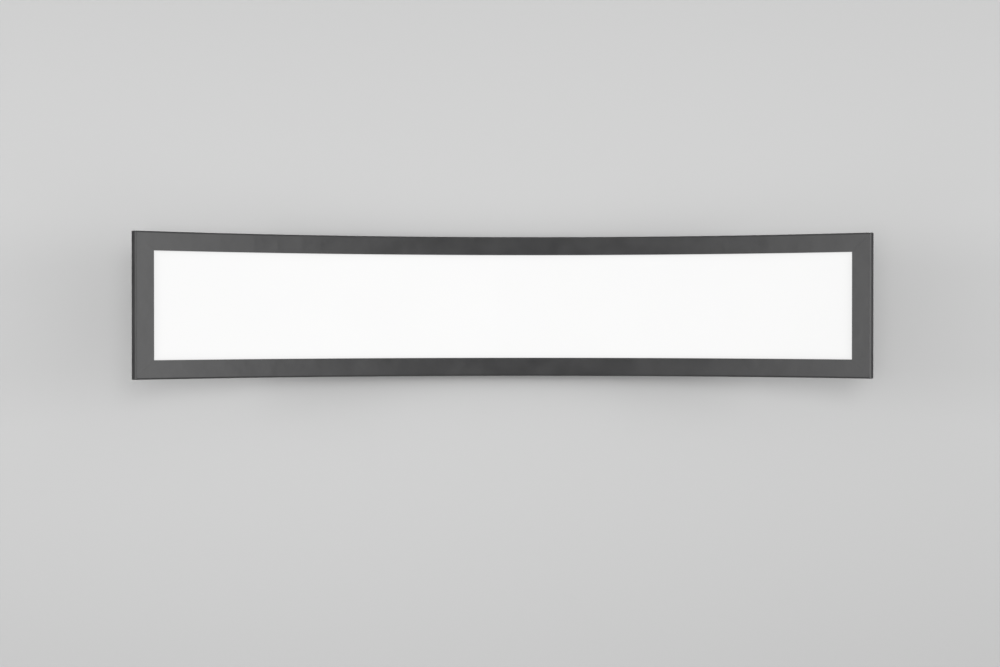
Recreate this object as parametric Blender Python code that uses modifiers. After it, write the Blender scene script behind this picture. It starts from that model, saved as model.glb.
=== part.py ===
"""Bowed LED panel ceiling light, modelled in metres with +Z up.

The origin is the centre of the mounting bracket's top face, on the ceiling.
X runs along the light and Y across it. The lit face looks down.
The panel is an arch: each of its layers is modelled flat, with s along the arc,
y across it and h above its front face, and is then rolled round the arc's axis.
"""

import math

import bmesh
import bpy
from mathutils import Matrix, Vector

# All pieces
GAP = 0.0003  # between pieces that touch
OVERRUN = 0.002  # how far a cutter runs past what it cuts
MERGE_DISTANCE = 0.000001  # between points that are one
ROUND_SIDES = 24
SMALL_SIDES = 12

# Panel
FRONT_RADIUS = 0.796
HALF_ANGLE = math.radians(30)
FACETS = 32
PANEL_WIDTH = 0.160

# Frame rails
BORDER = 0.0208
LIP_THICKNESS = 0.0016
WALL_THICKNESS = 0.0016
CHAMBER_WIDTH = 0.0060
WEB_THICKNESS = 0.0014
SHELF_THICKNESS = 0.0012
EDGE_CHAMFER = 0.0006

# Corner keys
KEY_LEG = 0.030
KEY_SCREW_INSET = 0.020

# Sheets
DIFFUSER_THICKNESS = 0.0018
GUIDE_THICKNESS = 0.0030
REFLECTOR_THICKNESS = 0.0005
FOAM_THICKNESS = 0.0026
PLATE_THICKNESS = 0.0010
SHEET_END_GAP = 0.0008

# LED strips
BOARD_THICKNESS = 0.0010
BOARD_END_GAP = 0.003
LED_LENGTH = 0.0035
LED_HEIGHT = 0.0026
LED_DEPTH = 0.0008
LED_GAP = 0.0004

# Back plate screws
PLATE_HEAD_RADIUS = 0.0028
PLATE_HEAD_HEIGHT = 0.0016
PLATE_SHANK_RADIUS = 0.0014
PLATE_SHANK_LENGTH = 0.0080
PAN_TOP_SHARE = 0.8  # of the head's radius, for all pan-head screws
PAN_SHOULDER_SHARE = 0.5  # of the head's height

# Canopy
CANOPY_WALL = 0.0010
CANOPY_CORNER = 0.008
RIM_GAP = 0.0005
END_BAY = 0.024
MIDDLE_BAY = 0.014
SIDE_BAY = 0.004
AISLE = 0.060
CANOPY_SCREW_INSET = 0.010
CANOPY_HEAD_RADIUS = 0.0040
CANOPY_HEAD_HEIGHT = 0.0024
CANOPY_SHANK_RADIUS = 0.0020
CLINCH_NUT_RADIUS = 0.0038

# Cable bushing
BUSHING_INSET = 0.018
BUSHING_S = 0.020  # from the middle, along the arc
BUSHING_FLANGE_RADIUS = 0.0080
BUSHING_FLANGE_HEIGHT = 0.0015
BUSHING_NECK_RADIUS = 0.0057
BUSHING_BORE_RADIUS = 0.0030

# Mounting bracket
STRIP_THICKNESS = 0.0015
STRIP_WIDTH = 0.025
BRACKET_DEPTH = 0.006
BRACKET_CLEARANCE = 0.0021
TAB_DEPTH = 0.020
SLOT_WIDTH = 0.005
SLOT_LENGTH = 0.014
SLOT_PITCH = 0.035
CABLE_HOLE_RADIUS = 0.006
CABLE_HOLE_PLACE = 0.0525

# Thumb screws and their washers
THUMB_HEIGHT = 0.012
THUMB_HEAD_RADIUS = 0.006
THUMB_HEAD_LENGTH = 0.008
THUMB_SHANK_RADIUS = 0.002
THUMB_NUT_RADIUS = 0.00375
THUMB_NUT_LENGTH = 0.003
THUMB_TIP = 0.002
WASHER_RADIUS = 0.005
WASHER_THICKNESS = 0.001

# LED driver
DRIVER_LENGTH = 0.126
DRIVER_WIDTH = 0.036
DRIVER_HEIGHT = 0.020
DRIVER_WALL = 0.0012
EAR_LENGTH = 0.008
EAR_WIDTH = 0.014
PAD_RADIUS = 0.0034
DRIVER_HEAD_RADIUS = 0.0028
DRIVER_HEAD_HEIGHT = 0.0018
DRIVER_SHANK_RADIUS = 0.0015
POST_SIZE = 0.003
POST_HEIGHT = 0.003
BOARD_MARGIN = 0.0006
DRIVER_BOARD_THICKNESS = 0.0016
TRANSFORMER_SIZE = (0.024, 0.020, 0.0095)
TRANSFORMER_PLACE = (-0.014, 0.004)
CAPACITOR_RADIUS = 0.005
CAPACITOR_HEIGHT = 0.0095
CAPACITOR_PLACE = (0.022, -0.006)
COVER_LIP = 0.003

# Terminal block
BLOCK_LENGTH = 0.022
BLOCK_WIDTH = 0.034
BLOCK_HEIGHT = 0.016
POLE_PITCH = 0.010
ENTRY_RADIUS = 0.0018
ENTRY_HEIGHT = 0.0045
CONTACT_LENGTH = 0.012
CONTACT_WIDTH = 0.0030
CONTACT_THICKNESS = 0.0008
BUTTON_SIDE = 0.005
BUTTON_LENGTH = 0.0075
BUTTON_RISE = 0.0030
BUTTON_TRAVEL = 0.002

# Wires
MAINS_RADIUS = 0.0012
LEAD_RADIUS = 0.0008
LEAD_PITCH = 0.0030
PANEL_BEND = 0.0024
BUSHING_BEND = 0.0045
LEAD_LOOP = 0.013
WIRE_STEP = 0.0035
EARTH_BEND_SHARES = ((0.15, 0.7), (0.5, 1.0), (0.85, 0.7))  # across the turn, and out from it
LEAD_BEND_SHARES = ((-0.7, 0.7, -0.3), (0.7, 0.7, 0.3))  # across, out and up

# Inline connector
CONNECTOR_LENGTH = 0.014
CONNECTOR_WIDTH = 0.010
CONNECTOR_HEIGHT = 0.007
CONNECTOR_WALL = 0.0012
NOSE_LENGTH = 0.006
CONNECTOR_PLACE = 0.042
CONNECTOR_OFFSET = 0.022
SOCKET_HOLE_DEPTH = 0.003

# Earth stud
STUD_OFFSET = 0.024
STUD_RADIUS = 0.002
STUD_LENGTH = 0.009
RING_RADIUS = 0.0045
RING_THICKNESS = 0.0008
BARREL_LENGTH = 0.009
BARREL_WIDTH = 0.0048
BARREL_HEIGHT = 0.0040
EARTH_NUT_RADIUS = 0.0040
EARTH_NUT_HEIGHT = 0.0032
TONGUE_REACH_SHARE = 0.6  # of the ring's radius, in from its edge to its middle
CRIMP_SHARE = 1 / 3  # of the barrel's length that holds the wire

# Heights of the layers above the front face
DIFFUSER_H = LIP_THICKNESS + GAP
GUIDE_H = DIFFUSER_H + DIFFUSER_THICKNESS + GAP
REFLECTOR_H = GUIDE_H + GUIDE_THICKNESS + GAP
FOAM_H = REFLECTOR_H + REFLECTOR_THICKNESS + GAP
SHELF_TOP = FOAM_H + FOAM_THICKNESS
PLATE_H = SHELF_TOP + GAP
PANEL_THICKNESS = PLATE_H + PLATE_THICKNESS
FLOOR_H = PANEL_THICKNESS + GAP
FLOOR_TOP = FLOOR_H + CANOPY_WALL
SEAT_H = FLOOR_TOP + GAP

# Distances in from the panel's edge
KEY_U = WALL_THICKNESS + CHAMBER_WIDTH / 2
WEB_U = WALL_THICKNESS + CHAMBER_WIDTH + WEB_THICKNESS
LED_U = WEB_U + GAP + BOARD_THICKNESS
SHEET_U = LED_U + LED_DEPTH + LED_GAP
MITRE_GAP = GAP / math.sqrt(2)

# Panel and canopy as a whole
HALF_WIDTH = PANEL_WIDTH / 2
HALF_LENGTH = FRONT_RADIUS * HALF_ANGLE
DROP = BRACKET_DEPTH + BRACKET_CLEARANCE + DRIVER_HEIGHT + SEAT_H - PANEL_THICKNESS
ARC_CENTRE_Z = -DROP - PANEL_THICKNESS - FRONT_RADIUS
DRIVER_SPAN = DRIVER_LENGTH + 2 * EAR_LENGTH
INNER_X = (2 * END_BAY + DRIVER_SPAN + MIDDLE_BAY + BLOCK_LENGTH) / 2
INNER_Y = (SIDE_BAY + DRIVER_WIDTH + AISLE) / 2
CANOPY_X = INNER_X + CANOPY_WALL
CANOPY_Y = INNER_Y + CANOPY_WALL

parts = bpy.data.collections.new("ceiling_light")
tools = bpy.data.collections.new("cutters")


def arc_at(x, h):
    """The place s along the front face that lies under x at height h."""
    return FRONT_RADIUS * math.asin(x / (FRONT_RADIUS + h))


DRIVER_S = arc_at(-INNER_X + END_BAY + DRIVER_SPAN / 2, SEAT_H)
DRIVER_Y = -INNER_Y + SIDE_BAY + DRIVER_WIDTH / 2
BLOCK_S = arc_at(INNER_X - END_BAY - BLOCK_LENGTH / 2, SEAT_H)
BUSHING_Y = INNER_Y - BUSHING_INSET
STUD_Y = DRIVER_Y + DRIVER_WIDTH / 2 + STUD_OFFSET
CONNECTOR_Y = DRIVER_Y + DRIVER_WIDTH / 2 + CONNECTOR_OFFSET
CANOPY_SCREW_S = arc_at(INNER_X - CANOPY_SCREW_INSET, SEAT_H)
CANOPY_SCREW_Y = INNER_Y - CANOPY_SCREW_INSET


def rolled(s, y, h):
    """A point of the flat panel on the arch, which is straight between its facets' ends."""
    place = (s + HALF_LENGTH) / (2 * HALF_LENGTH) * FACETS
    index = min(max(math.floor(place), 0), FACETS - 1)
    share = place - index
    start = (2 * index / FACETS - 1) * HALF_ANGLE
    end = start + 2 * HALF_ANGLE / FACETS
    across = (1 - share) * math.sin(start) + share * math.sin(end)
    up = (1 - share) * math.cos(start) + share * math.cos(end)
    radius = FRONT_RADIUS + h
    return Vector((radius * across, y, ARC_CENTRE_Z + radius * up))


def seat(s, y, h):
    """The placement of a straight piece that stands on the arch, with its Z along the arc's radius."""
    angle = s / FRONT_RADIUS
    radius = FRONT_RADIUS + h
    place = Vector((radius * math.sin(angle), y, ARC_CENTRE_Z + radius * math.cos(angle)))
    return Matrix.Translation(place) @ Matrix.Rotation(angle, 4, "Y")


def paint(name, colour, roughness, metallic=0.0):
    """A Principled material, made once and then shared by name."""
    if name in bpy.data.materials:
        return bpy.data.materials[name]
    material = bpy.data.materials.new(name)
    material.use_nodes = True
    shader = material.node_tree.nodes["Principled BSDF"]
    shader.inputs["Base Color"].default_value = (*colour, 1)
    shader.inputs["Roughness"].default_value = roughness
    shader.inputs["Metallic"].default_value = metallic
    material.diffuse_color = (*colour, 1)
    return material


def coated():
    return paint("black powder coat", (0.020, 0.020, 0.021), 0.55)


def zinc():
    return paint("zinc plated steel", (0.60, 0.61, 0.62), 0.35, 1.0)


def link(obj, place, material):
    """Put a piece with the parts, or a cutter, which has no material, with the cutters."""
    obj.matrix_world = place
    if material:
        obj.data.materials.append(material)
        parts.objects.link(obj)
    else:
        obj.hide_render = True
        obj.display_type = "WIRE"
        tools.objects.link(obj)
    return obj


def from_bmesh(name, bm, place, material):
    bmesh.ops.recalc_face_normals(bm, faces=bm.faces[:])
    mesh = bpy.data.meshes.new(name)
    bm.to_mesh(mesh)
    bm.free()
    return link(bpy.data.objects.new(name, mesh), place, material)


def box(name, low, high, material=None, place=Matrix()):
    low, high = Vector(low), Vector(high)
    bm = bmesh.new()
    bmesh.ops.create_cube(bm, size=1)
    bmesh.ops.scale(bm, vec=high - low, verts=bm.verts)
    bmesh.ops.translate(bm, vec=(low + high) / 2, verts=bm.verts)
    return from_bmesh(name, bm, place, material)


def rod(name, radius, low, high, centre=(0, 0), material=None, place=Matrix(), sides=SMALL_SIDES):
    """A cylinder along Z."""
    bm = bmesh.new()
    bmesh.ops.create_cone(
        bm, cap_ends=True, segments=sides, radius1=radius, radius2=radius, depth=high - low
    )
    bmesh.ops.translate(bm, vec=(*centre, (low + high) / 2), verts=bm.verts)
    obj = from_bmesh(name, bm, place, material)
    obj.data.shade_smooth()
    obj.data.set_sharp_from_angle(angle=math.radians(40))
    return obj


def turned(name, profile, material=None, place=Matrix(), sides=ROUND_SIDES, closed=False):
    """A profile of (radius, z), run from top to bottom down its outer side, turned round Z."""
    mesh = bpy.data.meshes.new(name)
    count = len(profile)
    edges = [(i, (i + 1) % count) for i in range(count if closed else count - 1)]
    mesh.from_pydata([(radius, 0, z) for radius, z in profile], edges, [])
    obj = link(bpy.data.objects.new(name, mesh), place, material)
    screw = obj.modifiers.new("turn", "SCREW")
    screw.steps = screw.render_steps = sides
    screw.use_merge_vertices = True
    screw.merge_threshold = MERGE_DISTANCE
    return obj


def prism(name, outlines, low, high, material=None, place=Matrix()):
    """Flat outlines, the inner ones being holes, given a thickness from low to high."""
    curve = bpy.data.curves.new(name, "CURVE")
    curve.dimensions = "2D"
    curve.fill_mode = "BOTH"
    curve.extrude = (high - low) / 2
    for outline in outlines:
        spline = curve.splines.new("POLY")
        spline.points.add(len(outline) - 1)
        for point, (x, y) in zip(spline.points, outline):
            point.co = (x, y, 0, 1)
        spline.use_cyclic_u = True
    drawn = bpy.data.objects.new(name, curve)
    tools.objects.link(drawn)
    bm = bmesh.new()
    bm.from_mesh(evaluated_mesh(drawn))
    bpy.data.objects.remove(drawn)
    bmesh.ops.remove_doubles(bm, verts=bm.verts, dist=MERGE_DISTANCE)
    bmesh.ops.translate(bm, vec=(0, 0, (low + high) / 2), verts=bm.verts)
    return from_bmesh(name, bm, place, material)


def evaluated_mesh(obj):
    bpy.context.view_layer.update()
    graph = bpy.context.evaluated_depsgraph_get()
    return bpy.data.meshes.new_from_object(obj.evaluated_get(graph))


def combine(piece, tool, operation="DIFFERENCE"):
    """Cut a piece by a tool, or join the tool to it."""
    modifier = piece.modifiers.new(tool.name, "BOOLEAN")
    modifier.object = tool
    modifier.operation = operation
    modifier.solver = "EXACT"
    return piece


def bend(bm, facet_end, moved):
    """Split a flat mesh where the arch's facets meet, and move its points onto the arch."""
    starts = [vert.co.x for vert in bm.verts]
    for index in range(1, FACETS):
        line = facet_end((2 * index / FACETS - 1) * HALF_ANGLE)
        if min(starts) < line < max(starts):
            everything = bm.verts[:] + bm.edges[:] + bm.faces[:]
            bmesh.ops.bisect_plane(
                bm, geom=everything, dist=MERGE_DISTANCE, plane_co=(line, 0, 0), plane_no=(1, 0, 0)
            )
    for vert in bm.verts:
        vert.co = moved(*vert.co)


def roll(piece):
    """Bend a flat piece along the arch, once it has all its cuts."""
    bm = bmesh.new()
    bm.from_mesh(evaluated_mesh(piece))
    bmesh.ops.triangulate(bm, faces=bm.faces[:])
    bend(bm, lambda angle: FRONT_RADIUS * angle, rolled)
    bmesh.ops.triangulate(bm, faces=bm.faces[:])
    bmesh.ops.recalc_face_normals(bm, faces=bm.faces[:])
    piece.modifiers.clear()
    bm.to_mesh(piece.data)
    bm.free()
    return piece


def smooth_route(route, step=WIRE_STEP):
    """Points read from a Catmull-Rom curve through the route's own points."""
    ends = [2 * route[0] - route[1], *route, 2 * route[-1] - route[-2]]
    points = []
    for before, start, end, after in zip(ends, ends[1:], ends[2:], ends[3:]):
        count = max(1, round((end - start).length / step))
        for i in range(count):
            t = i / count
            points.append(
                0.5
                * (
                    2 * start
                    + (end - before) * t
                    + (2 * before - 5 * start + 4 * end - after) * t**2
                    + (3 * start - before - 3 * end + after) * t**3
                )
            )
    return [*points, route[-1]]


def wire(name, route, radius, material):
    """An insulated wire along a route of points."""
    curve = bpy.data.curves.new(name, "CURVE")
    curve.dimensions = "3D"
    curve.bevel_depth = radius
    curve.bevel_resolution = 2
    curve.use_fill_caps = True
    points = smooth_route(route)
    spline = curve.splines.new("POLY")
    spline.points.add(len(points) - 1)
    for knot, point in zip(spline.points, points):
        knot.co = (*point, 1)
    return link(bpy.data.objects.new(name, curve), Matrix(), material)


def lead_in(place, x, inner_x, y, z, radius):
    """The straight end of a wire in a hole: inside, at the mouth x and just outside it."""
    outer_x = x + math.copysign(2 * radius, x - inner_x)
    return [place @ Vector((along, y, z)) for along in (inner_x, x, outer_x)]


def rounded_rectangle(half_x, half_y, radius, steps=5):
    """Its outline, with the corners' arcs in the given number of steps."""
    outline = []
    for quarter, (side_x, side_y) in enumerate(((1, 1), (-1, 1), (-1, -1), (1, -1))):
        for step in range(steps + 1):
            angle = math.radians(90) * (quarter + step / steps)
            x = side_x * (half_x - radius) + radius * math.cos(angle)
            y = side_y * (half_y - radius) + radius * math.sin(angle)
            outline.append((x, y))
    return outline


def slot_outline(half_length, radius, steps=6):
    """A slot along X with round ends."""
    outline = []
    for side in (1, -1):
        for step in range(steps + 1):
            angle = math.radians(180) * (step / steps - 0.5)
            x = side * (half_length - radius + radius * math.cos(angle))
            outline.append((x, side * radius * math.sin(angle)))
    return outline


def parent_all(parent, pieces):
    for piece in pieces:
        piece.parent = parent
        piece.matrix_parent_inverse = parent.matrix_world.inverted()


def empty(name, place):
    """A body's frame, which its pieces are parented to."""
    obj = bpy.data.objects.new(name, None)
    obj.matrix_world = place
    parts.objects.link(obj)
    bpy.context.view_layer.update()
    return obj


# Frame


def rail_section():
    """Outline of a rail: lip, outer wall, web and shelf, and the chamber between them."""
    chamber_end = WALL_THICKNESS + CHAMBER_WIDTH
    shelf_bottom = SHELF_TOP - SHELF_THICKNESS
    outer = [
        (0, EDGE_CHAMFER),
        (EDGE_CHAMFER, 0),
        (BORDER, 0),
        (BORDER, LIP_THICKNESS),
        (WEB_U, LIP_THICKNESS),
        (WEB_U, SHELF_TOP),
        (WALL_THICKNESS, SHELF_TOP),
        (WALL_THICKNESS, PANEL_THICKNESS),
        (0, PANEL_THICKNESS),
    ]
    chamber = [
        (WALL_THICKNESS, LIP_THICKNESS),
        (chamber_end, LIP_THICKNESS),
        (chamber_end, shelf_bottom),
        (WALL_THICKNESS, shelf_bottom),
    ]
    return [outer, chamber]


def rail(name, side, along_x):
    """One side of the frame, with mitred ends. The section's u runs in from the panel's edge."""
    piece = prism(name, rail_section(), -HALF_WIDTH, HALF_WIDTH, coated())
    bm = bmesh.new()
    bm.from_mesh(piece.data)
    for vert in bm.verts:
        u, h, end = vert.co.x, vert.co.y, math.copysign(1, vert.co.z)
        if along_x:
            vert.co = (end * (HALF_LENGTH - u - MITRE_GAP), side * (HALF_WIDTH - u), h)
        else:
            vert.co = (side * (HALF_LENGTH - u), end * (HALF_WIDTH - u - MITRE_GAP), h)
    bmesh.ops.recalc_face_normals(bm, faces=bm.faces[:])
    bm.to_mesh(piece.data)
    bm.free()
    return piece


def plate_screw_places():
    """Where the back plate is screwed down: into the four corner keys and at the middle of both sides."""
    corner = HALF_LENGTH - KEY_SCREW_INSET
    return [(s, side * (HALF_WIDTH - KEY_U)) for side in (-1, 1) for s in (-corner, 0, corner)]


def drill(piece, places, radius, label, low=0, high=PANEL_THICKNESS):
    """Cut round holes in a piece that is still flat."""
    for index, centre in enumerate(places):
        combine(
            piece,
            rod(f"{label}_{piece.name}_{index}", radius, low - OVERRUN, high + OVERRUN, centre),
        )
    return piece


def make_frame():
    rails = []
    for name, side in (("front_long_rail", -1), ("rear_long_rail", 1)):
        piece = rail(name, side, True)
        places = [place for place in plate_screw_places() if place[1] * side > 0]
        shelf = SHELF_TOP - SHELF_THICKNESS
        drill(piece, places, PLATE_SHANK_RADIUS + GAP, "hole", shelf)
        rails.append(roll(piece))
    for name, side in (("left_end_rail", -1), ("right_end_rail", 1)):
        rails.append(roll(rail(name, side, False)))
    return rails


def make_corner_keys():
    """L-shaped zinc keys in the rails' chambers, one for each mitre."""
    keys = []
    start = WALL_THICKNESS + GAP
    end = WALL_THICKNESS + CHAMBER_WIDTH - GAP
    outline = [
        (start, start),
        (KEY_LEG, start),
        (KEY_LEG, end),
        (end, end),
        (end, KEY_LEG),
        (start, KEY_LEG),
    ]
    low = LIP_THICKNESS + GAP
    high = SHELF_TOP - SHELF_THICKNESS - GAP
    for end_name, side_s in (("left", -1), ("right", 1)):
        for side_name, side_y in (("front", -1), ("rear", 1)):
            flat = [(side_s * (HALF_LENGTH - u), side_y * (HALF_WIDTH - v)) for u, v in outline]
            die_cast = paint("die-cast zinc", (0.45, 0.45, 0.46), 0.45, 1.0)
            key = prism(f"{end_name}_{side_name}_corner_key", [flat], low, high, die_cast)
            centre = (side_s * (HALF_LENGTH - KEY_SCREW_INSET), side_y * (HALF_WIDTH - KEY_U))
            drill(key, [centre], PLATE_SHANK_RADIUS + GAP, "hole")
            keys.append(roll(key))
    return keys


# Lit layers


def sheet(name, low, thickness, material):
    half_s = HALF_LENGTH - WEB_U - SHEET_END_GAP
    half_y = HALF_WIDTH - SHEET_U
    return box(name, (-half_s, -half_y, low), (half_s, half_y, low + thickness), material)


def canopy_screw_places():
    return [(s, y) for s in (-CANOPY_SCREW_S, CANOPY_SCREW_S) for y in (-CANOPY_SCREW_Y, CANOPY_SCREW_Y)]


def make_sheets():
    opal = paint("opal acrylic", (0.90, 0.90, 0.89), 0.45)
    clear = paint("clear acrylic", (0.88, 0.93, 0.94), 0.05)
    white = paint("white polyester film", (0.92, 0.92, 0.92), 0.35)
    grey = paint("grey foam", (0.30, 0.30, 0.31), 0.95)
    foam = sheet("foam_pad", FOAM_H, FOAM_THICKNESS, grey)
    groove_low = PLATE_H - 2 * LEAD_RADIUS - 2 * GAP
    side = LEAD_RADIUS + GAP
    groove = box(
        "groove",
        (BUSHING_S - side, -HALF_WIDTH, groove_low),
        (BUSHING_S + jumper_offset() + side, HALF_WIDTH, PLATE_H),
    )
    combine(foam, groove)
    drill(foam, canopy_screw_places(), CLINCH_NUT_RADIUS + GAP, "nut_hole")
    return [
        roll(sheet("diffuser", DIFFUSER_H, DIFFUSER_THICKNESS, opal)),
        roll(sheet("light_guide", GUIDE_H, GUIDE_THICKNESS, clear)),
        roll(sheet("reflector_sheet", REFLECTOR_H, REFLECTOR_THICKNESS, white)),
        roll(foam),
    ]


def make_led_strip(name, side):
    """A board on the rail's web, with one LED for each facet that looks into the guide's edge."""
    white = paint("white solder mask", (0.85, 0.85, 0.83), 0.40)
    middle = GUIDE_H + GUIDE_THICKNESS / 2
    low = LIP_THICKNESS + GAP
    half_s = HALF_LENGTH - WEB_U - BOARD_END_GAP
    outer = side * (HALF_WIDTH - WEB_U - GAP)
    inner = side * (HALF_WIDTH - LED_U)
    strip = box(
        name,
        (-half_s, min(outer, inner), low),
        (half_s, max(outer, inner), 2 * middle - low),
        white,
    )
    lit = side * (HALF_WIDTH - LED_U - LED_DEPTH)
    seated = (outer + inner) / 2
    for index in range(1, FACETS - 1):
        centre = ((2 * index + 1) / FACETS - 1) * HALF_LENGTH
        led = box(
            f"{name}_led_{index}",
            (centre - LED_LENGTH / 2, min(lit, seated), middle - LED_HEIGHT / 2),
            (centre + LED_LENGTH / 2, max(lit, seated), middle + LED_HEIGHT / 2),
        )
        combine(strip, led, "UNION")
    return roll(strip)


# Back plate and its screws


def pan_screw(name, place, head_radius, head_height, shank_radius, shank_length):
    """A pan-head screw whose head stands on its placement's Z = 0."""
    profile = [
        (0, head_height),
        (head_radius * PAN_TOP_SHARE, head_height),
        (head_radius, head_height * PAN_SHOULDER_SHARE),
        (head_radius, 0),
        (shank_radius, 0),
        (shank_radius, -shank_length),
        (0, -shank_length),
    ]
    return turned(name, profile, zinc(), place, SMALL_SIDES)


def make_back_plate():
    """The rear sheet, with pressed-in nuts for the canopy's screws."""
    half_s = HALF_LENGTH - WALL_THICKNESS - GAP
    half_y = HALF_WIDTH - WALL_THICKNESS - GAP
    plate = box(
        "back_plate", (-half_s, -half_y, PLATE_H), (half_s, half_y, PANEL_THICKNESS), coated()
    )
    nut_low = FOAM_H + GAP
    for index, centre in enumerate(canopy_screw_places()):
        seated = PLATE_H + PLATE_THICKNESS / 2
        nut = rod(f"clinch_nut_{index}", CLINCH_NUT_RADIUS, nut_low, seated, centre)
        combine(plate, nut, "UNION")
    drill(plate, canopy_screw_places(), CANOPY_SHANK_RADIUS + GAP, "thread", nut_low)
    drill(plate, plate_screw_places(), PLATE_SHANK_RADIUS + GAP, "hole", PLATE_H)
    drill(plate, [(BUSHING_S, BUSHING_Y)], BUSHING_NECK_RADIUS + GAP, "bushing_hole", PLATE_H)
    return roll(plate)


def make_plate_screws():
    names = ("front_left", "front_middle", "front_right", "rear_left", "rear_middle", "rear_right")
    return [
        pan_screw(
            f"{name}_plate_screw",
            seat(s, y, PANEL_THICKNESS + GAP),
            PLATE_HEAD_RADIUS,
            PLATE_HEAD_HEIGHT,
            PLATE_SHANK_RADIUS,
            PLATE_SHANK_LENGTH,
        )
        for name, (s, y) in zip(names, plate_screw_places())
    ]


# Canopy


def canopy_point(x, y, z):
    """A flat tub's point on the canopy: its floor follows the arch and its rim lies level."""
    if z > 0:
        return Vector((x, y, -RIM_GAP))
    radius = FRONT_RADIUS + FLOOR_H
    facet = 2 * HALF_ANGLE / FACETS
    start = math.floor((math.asin(x / radius) + HALF_ANGLE) / facet) * facet - HALF_ANGLE
    end = start + facet
    share = (x / radius - math.sin(start)) / (math.sin(end) - math.sin(start))
    up = (1 - share) * math.cos(start) + share * math.cos(end)
    return Vector((x, y, ARC_CENTRE_Z + radius * up))


def driver_pad_places():
    """The driver's ear screws, in the driver's own frame."""
    reach = DRIVER_LENGTH / 2 + EAR_LENGTH / 2
    return [(-reach, 0), (reach, 0)]


def make_canopy():
    """A folded sheet box that is open to the ceiling, with a floor that follows the panel's back."""
    bm = bmesh.new()
    outline = rounded_rectangle(CANOPY_X, CANOPY_Y, CANOPY_CORNER)
    floor = bm.faces.new([bm.verts.new((x, y, 0)) for x, y in outline])
    walls = bmesh.ops.extrude_edge_only(bm, edges=floor.edges[:])
    rim = [vert for vert in walls["geom"] if isinstance(vert, bmesh.types.BMVert)]
    bmesh.ops.translate(bm, vec=(0, 0, DROP), verts=rim)
    bend(bm, lambda angle: (FRONT_RADIUS + FLOOR_H) * math.sin(angle), canopy_point)
    canopy = from_bmesh("canopy", bm, Matrix(), coated())
    wall = canopy.modifiers.new("wall", "SOLIDIFY")
    wall.thickness = CANOPY_WALL
    wall.offset = -1
    wall.use_even_offset = True

    slot_end = THUMB_HEIGHT - THUMB_SHANK_RADIUS - GAP
    slot_radius = THUMB_SHANK_RADIUS + GAP
    half = (2 * slot_radius + slot_end) / 2
    lying = Matrix.Translation((0, 0, -THUMB_HEIGHT - slot_radius + half)) @ Matrix.Rotation(
        math.radians(90), 4, "Y"
    )
    reach = CANOPY_X + OVERRUN
    combine(canopy, prism("thumb_slots", [slot_outline(half, slot_radius)], -reach, reach, None, lying))
    opening = box(
        "thumb_slot_mouths", (-reach, -slot_radius, -slot_end), (reach, slot_radius, OVERRUN)
    )
    combine(canopy, opening)

    driver = seat(DRIVER_S, DRIVER_Y, SEAT_H)
    for index, centre in enumerate(driver_pad_places()):
        fall = centre[0] ** 2 / (2 * (FRONT_RADIUS + FLOOR_TOP))
        low = -GAP - fall - CANOPY_WALL / 2
        pad = rod(f"driver_pad_{index}", PAD_RADIUS, low, -GAP, centre, None, driver)
        combine(canopy, pad, "UNION")
        hole = rod(
            f"driver_screw_hole_{index}",
            DRIVER_SHANK_RADIUS + GAP,
            low - CANOPY_WALL - OVERRUN,
            OVERRUN,
            centre,
            None,
            driver,
        )
        combine(canopy, hole)

    for index, (s, y) in enumerate(canopy_screw_places()):
        place = seat(s, y, FLOOR_H)
        hole = rod(
            f"canopy_screw_hole_{index}",
            CANOPY_SHANK_RADIUS + GAP,
            -OVERRUN,
            CANOPY_WALL + OVERRUN,
            (0, 0),
            None,
            place,
        )
        combine(canopy, hole)
    place = seat(BUSHING_S, BUSHING_Y, FLOOR_H)
    radius = BUSHING_NECK_RADIUS + GAP
    through = CANOPY_WALL + OVERRUN
    combine(
        canopy, rod("bushing_seat", radius, -OVERRUN, through, (0, 0), None, place, ROUND_SIDES)
    )
    stud = rod(
        "earth_stud",
        STUD_RADIUS,
        -CANOPY_WALL / 2,
        STUD_LENGTH,
        (0, 0),
        None,
        seat(BLOCK_S, STUD_Y, FLOOR_TOP),
    )
    return [combine(canopy, stud, "UNION")]


def make_canopy_screws():
    length = CANOPY_WALL + GAP + PLATE_THICKNESS + FOAM_THICKNESS - GAP
    names = ("left_front", "left_rear", "right_front", "right_rear")
    return [
        pan_screw(
            f"{name}_canopy_screw",
            seat(s, y, SEAT_H),
            CANOPY_HEAD_RADIUS,
            CANOPY_HEAD_HEIGHT,
            CANOPY_SHANK_RADIUS,
            length,
        )
        for name, (s, y) in zip(names, canopy_screw_places())
    ]


def make_bushing():
    """A rubber bushing that lines the hole from the canopy into the panel."""
    rubber = paint("black rubber", (0.030, 0.030, 0.032), 0.80)
    bottom = PLATE_H - SEAT_H
    profile = [
        (BUSHING_BORE_RADIUS, BUSHING_FLANGE_HEIGHT),
        (BUSHING_FLANGE_RADIUS, BUSHING_FLANGE_HEIGHT),
        (BUSHING_FLANGE_RADIUS, 0),
        (BUSHING_NECK_RADIUS, 0),
        (BUSHING_NECK_RADIUS, bottom),
        (BUSHING_BORE_RADIUS, bottom),
    ]
    place = seat(BUSHING_S, BUSHING_Y, SEAT_H)
    return [turned("cable_bushing", profile, rubber, place, ROUND_SIDES, True)]


# Mounting bracket and thumb screws


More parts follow.
